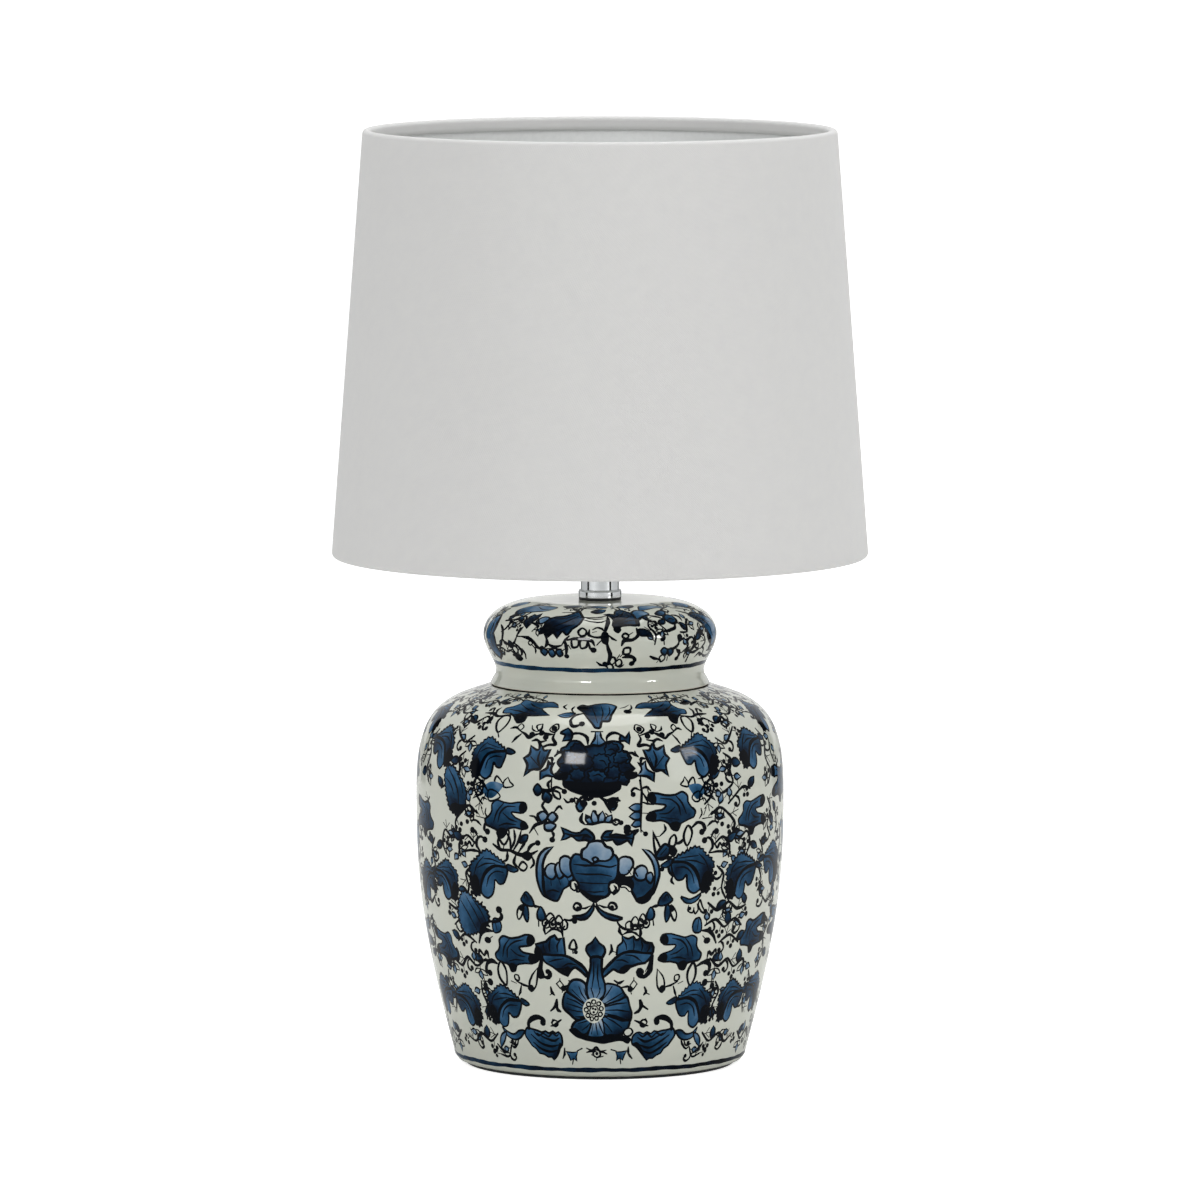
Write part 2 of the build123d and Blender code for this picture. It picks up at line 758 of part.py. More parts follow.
# =================================================================== the bulb
with BuildPart() as bulb_contact:
    with BuildSketch(Plane.XY.offset(bulb_z)):
        Circle(bulb_button_radius)
    extrude(amount=bulb_button_height)
    fillet(
        bulb_contact.edges().filter_by(GeomType.CIRCLE).sort_by(Axis.Z)[0],
        bulb_button_rounding,
    )
bulb_contact.part.label = "bulb_contact"

with BuildPart() as bulb_insulator:
    with BuildSketch(Plane.XY.offset(bulb_z + bulb_button_height)):
        Circle(bulb_button_radius)
    with BuildSketch(Plane.XY.offset(bulb_cap_z)):
        Circle(bulb_cap_radius - bulb_cap_wall + bulb_insulator_lap)
    loft()
bulb_insulator.part.label = "bulb_insulator"

with BuildPart() as bulb_cap:
    with BuildSketch(Plane.XY.offset(bulb_cap_z)):
        Circle(bulb_cap_radius)
    extrude(amount=bulb_cap_height)
    # the rolled thread, drawn as round grooves one pitch apart
    bulb_thread_turns = int((bulb_cap_height - bulb_thread_pitch) / bulb_thread_pitch)
    with BuildSketch(Plane.XZ):
        for turn in range(bulb_thread_turns):
            groove_z = bulb_cap_z + bulb_thread_start + turn * bulb_thread_pitch
            groove_centre = bulb_cap_radius - bulb_thread_depth + bulb_thread_groove_radius
            with Locations((groove_centre, groove_z)):
                Circle(bulb_thread_groove_radius)
    revolve(axis=Axis.Z, mode=Mode.SUBTRACT)
    with BuildSketch(Plane.XY.offset(bulb_cap_z)):
        Circle(bulb_cap_radius - bulb_cap_wall)
    extrude(amount=bulb_cap_height, mode=Mode.SUBTRACT)
bulb_cap.part.label = "bulb_cap"

with BuildPart() as bulb_body:
    with BuildSketch(Plane.XZ):
        with BuildLine():
            body_foot = Line((0, bulb_body_z), (bulb_waist_radius, bulb_body_z))
            body_side = Spline(
                body_foot @ 1,
                (bulb_radius, globe_z),
                tangents=[(bulb_waist_lean, 1), (0, 1)],
            )
            Polyline(
                body_side @ 1,
                (bulb_radius - bulb_wall, globe_z),
                (bulb_radius - bulb_wall, globe_z - board_drop - board_thickness),
                (0, globe_z - board_drop - board_thickness),
                (0, bulb_body_z),
            )
        make_face()
    revolve(axis=Axis.Z)
bulb_body.part.label = "bulb_body"

with BuildPart() as led_board:
    with BuildSketch(Plane.XY.offset(globe_z - board_drop - board_thickness)):
        Circle(bulb_radius - bulb_wall - core_play)
    extrude(amount=board_thickness)
    with BuildSketch(Plane.XY.offset(globe_z - board_drop)):
        with PolarLocations(chip_circle_radius, chip_count):
            Rectangle(chip_size, chip_size)
    extrude(amount=chip_height)
led_board.part.label = "led_board"

with BuildPart() as bulb_globe:
    globe_top_z = globe_z + globe_height
    with BuildSketch(Plane.XZ):
        with BuildLine():
            outer_wall = Spline(
                (bulb_radius, globe_z),
                (bulb_radius - globe_bend_inset, globe_z + globe_bend_rise),
                (0, globe_top_z),
                tangents=[(globe_foot_lean, 1), (-1, globe_tip_slope)],
            )
            Line(outer_wall @ 1, (0, globe_top_z - globe_tip_wall))
            inner_wall = Spline(
                (0, globe_top_z - globe_tip_wall),
                (bulb_radius - globe_bend_inset - bulb_wall, globe_z + globe_bend_rise - bulb_wall),
                (bulb_radius - bulb_wall, globe_z),
                tangents=[(1, -globe_tip_slope), (-globe_foot_lean, -1)],
            )
            Line(inner_wall @ 1, outer_wall @ 0)
        make_face()
    revolve(axis=Axis.Z)
bulb_globe.part.label = "bulb_globe"

# ================================================================ the pieces
pieces = [
    jar_body, jar_lid, lid_gasket, foot_felt, cord_bush,
    base_washer, lock_washer, base_nut, lamp_tube,
    neck_washer, neck_collar, neck_nut, neck_sleeve,
    holder_cap, cap_lock_screw, holder_skirt, holder_core,
    terminal_blocks, terminal_screws, screw_shell, centre_contact, side_contact,
    lower_shade_ring, upper_shade_ring,
    shade_fitter, fitter_arms, shade_bottom_ring, shade_top_ring, shade_liner, shade_fabric,
    bulb_contact, bulb_insulator, bulb_cap, bulb_body, led_board, bulb_globe,
]
for piece in pieces:
    export_step(piece.part, f"parts/{piece.part.label}.step")
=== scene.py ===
import json
import math
import random
import bpy
import numpy as np
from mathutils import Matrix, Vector, kdtree
from mathutils.geometry import delaunay_2d_cdt


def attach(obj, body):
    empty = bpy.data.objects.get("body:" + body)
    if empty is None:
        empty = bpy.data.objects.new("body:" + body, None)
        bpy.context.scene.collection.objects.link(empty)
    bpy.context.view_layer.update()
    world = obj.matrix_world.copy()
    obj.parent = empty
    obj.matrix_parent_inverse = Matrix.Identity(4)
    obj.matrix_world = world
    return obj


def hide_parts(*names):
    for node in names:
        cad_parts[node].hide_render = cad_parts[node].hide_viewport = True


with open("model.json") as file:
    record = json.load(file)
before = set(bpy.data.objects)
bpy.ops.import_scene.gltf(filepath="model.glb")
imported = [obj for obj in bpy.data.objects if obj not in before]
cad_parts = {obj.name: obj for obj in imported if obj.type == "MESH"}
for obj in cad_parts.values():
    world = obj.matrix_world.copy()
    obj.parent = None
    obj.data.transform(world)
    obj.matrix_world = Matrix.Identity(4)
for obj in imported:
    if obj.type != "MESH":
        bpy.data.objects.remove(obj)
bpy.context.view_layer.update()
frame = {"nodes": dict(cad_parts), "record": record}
nodes = frame["nodes"]
random.seed(7)
mm = 0.001
turn = 2 * math.pi


# ---- small helpers

def toLinear(code, alpha=1.0):  # "d8d4c8" -> linear colour
    out = []
    for i in (0, 2, 4):
        c = int(code[i:i + 2], 16) / 255
        out.append(c / 12.92 if c <= 0.04045 else ((c + 0.055) / 1.055) ** 2.4)
    return (*out, alpha)


def addNode(tree, kind, settings=None, **links):
    # settings go to the node's properties or, by name or number, to its inputs; links join outputs to inputs
    node = tree.nodes.new(kind)
    for key, value in (settings or {}).items():
        if isinstance(key, int):
            node.inputs[key].default_value = value
        elif hasattr(node, key):
            setattr(node, key, value)
        else:
            node.inputs[key].default_value = value
    for key, source in links.items():
        numbered = key[0] == "i" and key[1:].isdigit()
        tree.links.new(source, node.inputs[int(key[1:]) if numbered else key])
    return node


def newMaterial(name):
    mat = bpy.data.materials.new(name)
    mat.use_nodes = True
    tree = mat.node_tree
    return mat, tree, tree.nodes["Principled BSDF"]


def setRamp(node, stops):
    ramp = node.color_ramp
    while len(ramp.elements) < len(stops):
        ramp.elements.new(0.5)
    for element, (place, code) in zip(ramp.elements, stops):
        element.position = place
        element.color = toLinear(code) if isinstance(code, str) else (code, code, code, 1)
    return node


def addBump(tree, shader, height, strength, depth):
    bump = addNode(tree, "ShaderNodeBump", {"Strength": strength, "Distance": depth}, Height=height)
    tree.links.new(bump.outputs[0], shader.inputs["Normal"])


def addObject(name, verts, faces, mats, matOfFace=None, body="base", smoothFaces=True):
    mesh = bpy.data.meshes.new(name)
    mesh.from_pydata([tuple(v) for v in verts], [], faces)
    for mat in mats:
        mesh.materials.append(mat)
    if matOfFace is not None:
        mesh.polygons.foreach_set("material_index", matOfFace)
    if smoothFaces:
        mesh.polygons.foreach_set("use_smooth", [True] * len(faces))
    obj = bpy.data.objects.new(name, mesh)
    bpy.context.scene.collection.objects.link(obj)
    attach(obj, body)
    return obj


# ---- camera, light and floor

view = {"place": (0, -6.0, 0.86), "aim": (0, 0, 0.26), "fieldWidth": 0.6715, "sensorMm": 36, "farEnd": 50}


def makeCamera():
    cam = bpy.data.cameras.new("camera")
    obj = bpy.data.objects.new("camera", cam)
    bpy.context.scene.collection.objects.link(obj)
    obj.location = view["place"]
    way = Vector(view["aim"]) - Vector(view["place"])
    obj.rotation_euler = way.to_track_quat("-Z", "Y").to_euler()
    cam.sensor_width = view["sensorMm"]
    cam.lens = view["sensorMm"] * way.length / view["fieldWidth"]
    cam.clip_end = view["farEnd"]
    bpy.context.scene.camera = obj


studio = {
    # place, height of the point it faces, size and power; the windows only show as highlights in the glaze
    "softBoxLeft": ((-2.0, -2.6, 1.5), 0.3, (1.6, 1.6), 24.5),
    "windowFront": ((-0.62, -2.2, 1.17), 0.2, (0.5, 0.5), 85),
    "windowRight": ((2.5, -1.35, 1.35), 0.2, (0.5, 0.6), 42.5),
    "softBoxRight": ((2.4, -1.6, 1.2), 0.3, (1.2, 1.8), 18.5),
    "softBoxTop": ((0.2, 0.3, 2.8), 0.4, (1.8, 1.8), 44),
}
sky = {"colour": "f4f6f8", "strength": 0.55}
floor = {"colour": "f2f2f0", "radius": 30, "corners": 48,
         "glow": 0.72}  # how much of its white the camera sees without light
flags = {"places": [(-1.3, -0.35), (1.25, -0.6), (-0.95, 1.3), (1.0, 1.2)], "size": (0.32, 0.7), "height": 0.3,
         "colour": "0a0a0a"}


def makeLamp(name, place, aimHeight, size, power):
    lamp = bpy.data.lights.new(name, "AREA")
    lamp.shape = "RECTANGLE"
    lamp.size, lamp.size_y = size
    lamp.energy = power
    obj = bpy.data.objects.new(name, lamp)
    bpy.context.scene.collection.objects.link(obj)
    obj.location = place
    obj.rotation_euler = (Vector((0, 0, aimHeight)) - Vector(place)).to_track_quat("-Z", "Y").to_euler()
    obj.visible_diffuse = not name.startswith("window")


def makeFlag(name, x, y):
    # a black card beside the view; only mirrors see it, as the dark stripes in the chrome
    mesh = bpy.data.meshes.new(name)
    w, h = flags["size"][0] / 2, flags["size"][1] / 2
    mesh.from_pydata([(-w, 0, -h), (w, 0, -h), (w, 0, h), (-w, 0, h)], [], [(0, 1, 2, 3)])
    mat, tree, shader = newMaterial("blackCard")
    shader.inputs["Base Color"].default_value = toLinear(flags["colour"])
    shader.inputs["Roughness"].default_value = 0.9
    mesh.materials.append(mat)
    obj = bpy.data.objects.new(name, mesh)
    bpy.context.scene.collection.objects.link(obj)
    obj.location = (x, y, flags["height"])
    obj.rotation_euler = (0, 0, math.atan2(y, x) + turn / 4)
    obj.visible_camera = obj.visible_diffuse = obj.visible_shadow = False


def makeStudio():
    for k, (x, y) in enumerate(flags["places"]):
        makeFlag("flag%d" % (k + 1), x, y)
    for name, facts in studio.items():
        makeLamp(name, *facts)
    world = bpy.data.worlds.new("studioSky")
    bpy.context.scene.world = world
    world.use_nodes = True
    tree = world.node_tree
    tree.nodes.clear()
    rays = addNode(tree, "ShaderNodeLightPath")
    seen = addNode(tree, "ShaderNodeMath", {"operation": "MAXIMUM"}, i0=rays.outputs["Is Camera Ray"],
                   i1=rays.outputs["Is Transmission Ray"])
    seen = addNode(tree, "ShaderNodeMath", {"operation": "MAXIMUM"}, i0=seen.outputs[0],
                   i1=rays.outputs["Is Glossy Ray"])
    glow = addNode(tree, "ShaderNodeBackground", {"Color": toLinear(sky["colour"]), "Strength": sky["strength"]})
    white = addNode(tree, "ShaderNodeBackground", {"Color": (1, 1, 1, 1), "Strength": 1.0})
    mix = addNode(tree, "ShaderNodeMixShader", i0=seen.outputs[0], i1=glow.outputs[0], i2=white.outputs[0])
    addNode(tree, "ShaderNodeOutputWorld", Surface=mix.outputs[0])
    # a matt white floor; the camera sees it brightened, so only the contact shadow stays
    mat, tree, shader = newMaterial("mattWhiteFloor")
    shader.inputs["Base Color"].default_value = toLinear(floor["colour"])
    shader.inputs["Roughness"].default_value = 0.9
    rays = addNode(tree, "ShaderNodeLightPath")
    glow = addNode(tree, "ShaderNodeEmission", {"Color": (1, 1, 1, 1)})
    scale = addNode(tree, "ShaderNodeMath", {"operation": "MULTIPLY", 1: floor["glow"]},
                    i0=rays.outputs["Is Camera Ray"])
    tree.links.new(scale.outputs[0], glow.inputs["Strength"])
    both = addNode(tree, "ShaderNodeAddShader", i0=shader.outputs[0], i1=glow.outputs[0])
    tree.links.new(both.outputs[0], tree.nodes["Material Output"].inputs[0])
    mesh = bpy.data.meshes.new("floor")
    r, n = floor["radius"], floor["corners"]
    edge = [(r * math.cos(k * turn / n), r * math.sin(k * turn / n), 0) for k in range(n)]
    mesh.from_pydata(edge, [], [list(range(n))])
    mesh.materials.append(mat)
    obj = bpy.data.objects.new("floor", mesh)
    bpy.context.scene.collection.objects.link(obj)


makeCamera()
makeStudio()
bpy.context.scene.view_settings.view_transform = "Standard"
print("stage: camera and studio")


# ---- materials

porcelain = {
    "white": "c7c7ba", "whiteCool": "bec2b9", "ink": "04070d",
    "washes": [(0, "9ba6b1"), (0.2, "758b9f"), (0.45, "33597a"), (0.66, "153650"), (0.86, "071628"),
               (1, "03070e")],
    "streakShare": 0.55, "streakShift": -0.27,  # how far brush streaks move a wash along the row above
    "bare": ("cfc5b4", "ddd6c9"),
    "shine": 0.22, "inkShine": 0.05, "roughness": 0.08, "bareRoughness": 0.85,
    "ior": 1.5, "cloudMm": 22, "streakMm": 8.8, "rippleMm": 14, "grainMm": 0.8,
}


def addShine(tree, shader, coords, shine):
    # the slightly wavy surface of the glaze, the same over paint and body
    ripples = addNode(tree, "ShaderNodeTexNoise", {"Scale": 1000 / porcelain["rippleMm"], "Detail": 1.0},
                      Vector=coords.outputs["Object"])
    addBump(tree, shader, ripples.outputs["Fac"], 0.25, 0.0004)
    shader.inputs["Roughness"].default_value = porcelain["roughness"]
    shader.inputs["Specular IOR Level"].default_value = shine


def makeGlaze():
    # white glaze over porcelain: a cool grey white with faint clouds and a soft, slightly wavy shine
    mat, tree, shader = newMaterial("clearGlazedPorcelain")
    coords = addNode(tree, "ShaderNodeTexCoord")
    clouds = addNode(tree, "ShaderNodeTexNoise", {"Scale": 1000 / porcelain["cloudMm"], "Detail": 3.0},
                     Vector=coords.outputs["Object"])
    tint = addNode(tree, "ShaderNodeMix", {"data_type": "RGBA"}, Factor=clouds.outputs["Fac"])
    tint.inputs[6].default_value = toLinear(porcelain["white"])
    tint.inputs[7].default_value = toLinear(porcelain["whiteCool"])
    tree.links.new(tint.outputs[2], shader.inputs["Base Color"])
    addShine(tree, shader, coords, porcelain["shine"])
    shader.inputs["IOR"].default_value = porcelain["ior"]
    return mat


def makeWash():
    # cobalt wash under the glaze: from pale grey blue to near black navy, with brush streaks
    mat, tree, shader = newMaterial("cobaltWashUnderGlaze")
    tone = addNode(tree, "ShaderNodeAttribute", {"attribute_name": "tone"})
    coords = addNode(tree, "ShaderNodeTexCoord")
    streaks = addNode(tree, "ShaderNodeTexNoise",
                      {"Scale": 1000 / porcelain["streakMm"], "Detail": 3.0, "Roughness": 0.6},
                      Vector=coords.outputs["Object"])
    shift = addNode(tree, "ShaderNodeMath", {"operation": "MULTIPLY_ADD", 1: porcelain["streakShare"],
                                             2: porcelain["streakShift"]}, i0=streaks.outputs["Fac"])
    total = addNode(tree, "ShaderNodeMath", {"operation": "ADD", "use_clamp": True}, i0=tone.outputs["Fac"],
                    i1=shift.outputs[0])
    ramp = setRamp(addNode(tree, "ShaderNodeValToRGB", i0=total.outputs[0]), porcelain["washes"])
    tree.links.new(ramp.outputs[0], shader.inputs["Base Color"])
    addShine(tree, shader, coords, porcelain["inkShine"])
    return mat


def makeInk():
    # dark cobalt outlines: drawn strokes under the same glaze
    mat, tree, shader = newMaterial("cobaltOutlineUnderGlaze")
    coords = addNode(tree, "ShaderNodeTexCoord")
    shader.inputs["Base Color"].default_value = toLinear(porcelain["ink"])
    addShine(tree, shader, coords, porcelain["inkShine"])
    return mat


def makeBareClay():
    # unglazed fired clay on the foot ring and the rim: warm, matt, fine grained
    mat, tree, shader = newMaterial("bareFiredClay")
    coords = addNode(tree, "ShaderNodeTexCoord")
    grain = addNode(tree, "ShaderNodeTexNoise", {"Scale": 1000 / porcelain["grainMm"], "Detail": 4.0},
                    Vector=coords.outputs["Object"])
    dark, pale = porcelain["bare"]
    ramp = setRamp(addNode(tree, "ShaderNodeValToRGB", i0=grain.outputs["Fac"]), [(0.3, dark), (0.7, pale)])
    tree.links.new(ramp.outputs[0], shader.inputs["Base Color"])
    addBump(tree, shader, grain.outputs["Fac"], 0.4, 0.0002)
    shader.inputs["Roughness"].default_value = porcelain["bareRoughness"]
    return mat


paintedMats = [makeGlaze(), makeWash(), makeInk(), makeBareClay()]
glazeSlot, washSlot, inkSlot, claySlot = range(4)
print("stage: porcelain materials")


# ---- profiles of revolution, in millimetres, from foot to crown

def clampedSpline(points, startWay, endWay, step=0.5):
    # smooth curve through the points that leaves and arrives along the given directions
    p = np.array(points, float)
    t = np.concatenate([[0], np.cumsum(np.linalg.norm(np.diff(p, axis=0), axis=1))])
    n = len(p)
    a = np.zeros((n, n))
    b = np.zeros((n, 2))
    a[0, 0] = a[-1, -1] = 1
    b[0] = np.array(startWay) / np.hypot(*startWay)
    b[-1] = np.array(endWay) / np.hypot(*endWay)
    for i in range(1, n - 1):
        h0, h1 = t[i] - t[i - 1], t[i + 1] - t[i]
        a[i, i - 1:i + 2] = h1, 2 * (h0 + h1), h0
        b[i] = 3 * (h1 * (p[i] - p[i - 1]) / h0 + h0 * (p[i + 1] - p[i]) / h1)
    m = np.linalg.solve(a, b)
    out = [p[0]]
    for i in range(n - 1):
        h = t[i + 1] - t[i]
        for s in np.linspace(0, 1, max(2, int(h / step)) + 1)[1:]:
            out.append((2 * s**3 - 3 * s**2 + 1) * p[i] + (s**3 - 2 * s**2 + s) * h * m[i]
                       + (3 * s**2 - 2 * s**3) * p[i + 1] + (s**3 - s**2) * h * m[i + 1])
    return np.array(out)


def joinRuns(*runs):
    out = [runs[0]]
    for run in runs[1:]:
        out.append(run[1:])
    return np.concatenate(out)


def footTurn(start, end, steps=10):  # the rounded edge of the foot leaves the flat level
    (x0, z0), (x1, z1) = start, end
    radius = ((x1 - x0)**2 + (z1 - z0)**2) / (2 * (z1 - z0))
    full = math.atan2(x1 - x0, radius - (z1 - z0))
    angles = [full * k / steps for k in range(steps + 1)]
    return np.array([(x0 + radius * math.sin(a), z0 + radius * (1 - math.cos(a))) for a in angles])


jar = {
    "foot": [(76.0, 1.5), (81.9, 7.2)],
    "flank": [(81.9, 7.2), (88.9, 34.5), (101.1, 102.2), (103.0, 147.0)],
    "shoulder": [(103.0, 147.0), (100.2, 182.0), (93.7, 196.0), (84.1, 204.3), (66.0, 211.4)],
    "ledge": (58.3, 216.2),
    "footLean": 0.27, "neckSlope": 0.36,
    "rim": (53.0, 232.2), "rimRounding": 1.35, "neckBore": 48.5,
    "inside": [(63.5, 206.4), (80.56, 200.76), (88.7, 194.75), (95.2, 182), (98, 147), (96.1, 102.2), (78, 24)],
    "insideWays": ((1, -0.2), (-0.45, -1)), "insideStep": 6, "tubeBore": 5.4,
    "recess": {"radius": 68.0, "level": 1.5, "ceiling": 18.0},  # under the foot
    "footBand": ((6.8, (0.22, 17, 0.4), (0.132, 43, 0.8)), (9.3, (0.22, 13, 2.4), (0.132, 53, 0))),
    # a dark ink line right round the jar at the lid's lower edge: painted shade in the gap under the lid's lip
    "jointShadeLine": ((238.6, (0.1, 17, 1.7), (0.06, 43, 3.4)), (240.2, (0.1, 13, 3.7), (0.06, 53, 0))),
    "footWash": ((70.0, 8.0), 210, 1.0, 0.72),  # darkest at this place, palest from 210 mm on
    "bandGap": 2.6, "bandBeyond": 20, "gapUp": 4.0, "recessGapUp": 4.1,  # meshing
    "ringOfSegments": 160,
    "unrolledRadius": 100.0,
}
jarOutside = joinRuns(
    footTurn(*jar["foot"]),
    clampedSpline(jar["flank"], (jar["footLean"], 1), (0, 1)),
    clampedSpline(jar["shoulder"], (0, 1), (-1, jar["neckSlope"])),
    clampedSpline([jar["shoulder"][-1], jar["ledge"]], (-1, jar["neckSlope"]), (0, 1)),
)


class Profile:
    # radius, height and outward normal at any length along a run
    def __init__(self, points):
        self.p = np.array(points, float)
        self.s = np.concatenate([[0], np.cumsum(np.linalg.norm(np.diff(self.p, axis=0), axis=1))])
        way = np.gradient(self.p, self.s, axis=0)
        way /= np.linalg.norm(way, axis=1)[:, None]
        self.n = np.stack([way[:, 1], -way[:, 0]], axis=1)
        self.length = self.s[-1]

    def at(self, v):
        return [np.interp(v, self.s, c) for c in (self.p[:, 0], self.p[:, 1], self.n[:, 0], self.n[:, 1])]


# ---- drawing in the unrolled plane: u to the right of the middle, v up from the foot, in millimetres

def readPoints(text):  # "12,30 14,33!" -> points and whether each is a sharp corner
    words = [word for word in text.split() if "," in word]
    points = [[float(n) for n in word.rstrip("!").split(",")] for word in words]
    return np.array(points), [word[-1] == "!" for word in words]


def thinned(path, slack=0.12):
    # leaves out points that lie within the slack of a straight line between others
    keep = np.zeros(len(path), bool)
    keep[[0, -1]] = True
    todo = [(0, len(path) - 1)]
    while todo:
        i, j = todo.pop()
        if j - i < 2:
            continue
        way = path[j] - path[i]
        off = path[i + 1:j] - path[i]
        length = math.hypot(way[0], way[1])
        if length > 1e-6:
            away = np.abs(way[0] * off[:, 1] - way[1] * off[:, 0]) / length
        else:
            away = np.hypot(off[:, 0], off[:, 1])
        k = int(np.argmax(away))
        if away[k] > slack:
            keep[i + 1 + k] = True
            todo += [(i, i + 1 + k), (i + 1 + k, j)]
    return path[keep]


def smooth(points, sharp, closed=False, gap=0.8):
    # a curve through the points that turns smoothly except at the sharp ones
    n = len(points)

    def slope(i, j):  # direction at point i for the span to its neighbour j
        onward = (i + 1) % n == j and (closed or i < n - 1)
        if sharp[i] or (not closed and i in (0, n - 1)):
            return points[j] - points[i] if onward else points[i] - points[j]
        back, fore = points[i] - points[i - 1], points[(i + 1) % n] - points[i]
        d0, d1 = max(np.linalg.norm(back), 1e-6), max(np.linalg.norm(fore), 1e-6)
        return (back / d0 * d1 + fore / d1 * d0) / (d0 + d1) * np.linalg.norm(points[j] - points[i])

    out = []
    for i in range(n if closed else n - 1):
        j = (i + 1) % n
        a, b = slope(i, j), slope(j, i)
        steps = max(1, int(round(np.linalg.norm(points[j] - points[i]) / gap)))
        for k in range(steps):
            s = k / steps
            out.append((2 * s**3 - 3 * s**2 + 1) * points[i] + (s**3 - 2 * s**2 + s) * a
                       + (3 * s**2 - 2 * s**3) * points[j] + (s**3 - s**2) * b)
    if not closed:
        out.append(points[-1])
    out = np.array(out)
    if closed:
        far = int(np.argmax(np.linalg.norm(out - out[0], axis=1)))
        there, back = out[:far + 1], np.concatenate([out[far:], out[:1]])
        return np.concatenate([thinned(there)[:-1], thinned(back)[:-1]])
    return thinned(out)


brush = {"swell": 0.18, "swellWaves": 9, "tips": 5, "tipLength": 0.8}  # each tip takes a fifth of the stroke


def stroke(path, width, closed=False, taper=0.45):
    # the edge of a brush stroke that thins at its ends and swells a little along its way
    if closed:
        way = np.roll(path, -1, axis=0) - np.roll(path, 1, axis=0)
    else:
        ends = [path[1] - path[0]], [path[-1] - path[-2]]
        way = np.concatenate([ends[0], path[2:] - path[:-2], ends[1]])
    way = way / np.maximum(np.linalg.norm(way, axis=1), 1e-9)[:, None]
    side = np.stack([-way[:, 1], way[:, 0]], axis=1)
    steps = np.linalg.norm(np.diff(path, axis=0), axis=1)
    s = np.concatenate([[0], np.cumsum(steps)]) / max(steps.sum(), 1e-6)
    swell = 1 + brush["swell"] * np.sin(s * brush["swellWaves"] + path[0, 0])
    if not closed:
        swell = swell * (taper + (1 - taper) * np.minimum(1, np.minimum(s, 1 - s) * brush["tips"]))
    half = (width / 2 * swell)[:, None]
    left, right = path + side * half, path - side * half
    if closed:
        return [left, right]
    tips = way[[0, -1]] * half[[0, -1]] * brush["tipLength"]
    return [np.concatenate([left, [path[-1] + tips[1]], right[::-1], [path[0] - tips[0]]])]


tooth = {"pitch": 2.7, "steps": (0.75, -0.35, 0.1)}


def toothed(edge, depth):
    # small teeth that lean along the edge of a leaf
    closed = np.concatenate([edge, edge[:1]])
    along = np.concatenate([[0], np.cumsum(np.linalg.norm(np.diff(closed, axis=0), axis=1))])
    count = 3 * max(5, int(along[-1] / tooth["pitch"]))
    stops = np.arange(count) / count * along[-1]
    points = np.stack([np.interp(stops, along, closed[:, k]) for k in (0, 1)], axis=1)
    way = np.roll(points, -1, axis=0) - np.roll(points, 1, axis=0)
    way /= np.maximum(np.linalg.norm(way, axis=1), 1e-6)[:, None]
    area = (edge[:, 0] * np.roll(edge[:, 1], -1) - edge[:, 1] * np.roll(edge[:, 0], -1)).sum()
    out = np.stack([way[:, 1], -way[:, 0]], axis=1) * np.sign(area)
    return points + out * (depth * np.array(tooth["steps"])[np.arange(count) % 3])[:, None]


# a mark is (kind, text of points, settings); fills and dabs are closed shapes, lines and rings are strokes;
# marks of one kind share a text, with slashes between them; a number before the points is the width from there on
def fill(text, darkAt, reach, deep=0.95, pale=0.5):  # wash, deep at darkAt and pale from reach millimetres on
    return ("fill", text, (darkAt, reach, deep, pale))


def leaf(text, darkAt, reach, deep=0.95, pale=0.5, width=1.2):
    return ("leaf", text, (darkAt, reach, deep, pale, width))


def toothLeaf(text, darkAt, reach, deep=0.95, pale=0.5, width=1.2, depth=0.9):
    return ("toothLeaf", text, (darkAt, reach, deep, pale, width, depth))


def line(text, width=1.2, taper=0.45):
    return ("line", text, (width, taper))


def ring(text, width=1.1):
    return ("ring", text, (width,))


def dab(text):
    return ("dab", text, ())


def dot(text, rx=1, ry=0):
    return ("dot", text, (rx, ry))


def bare(text):
    return ("bare", text, ())


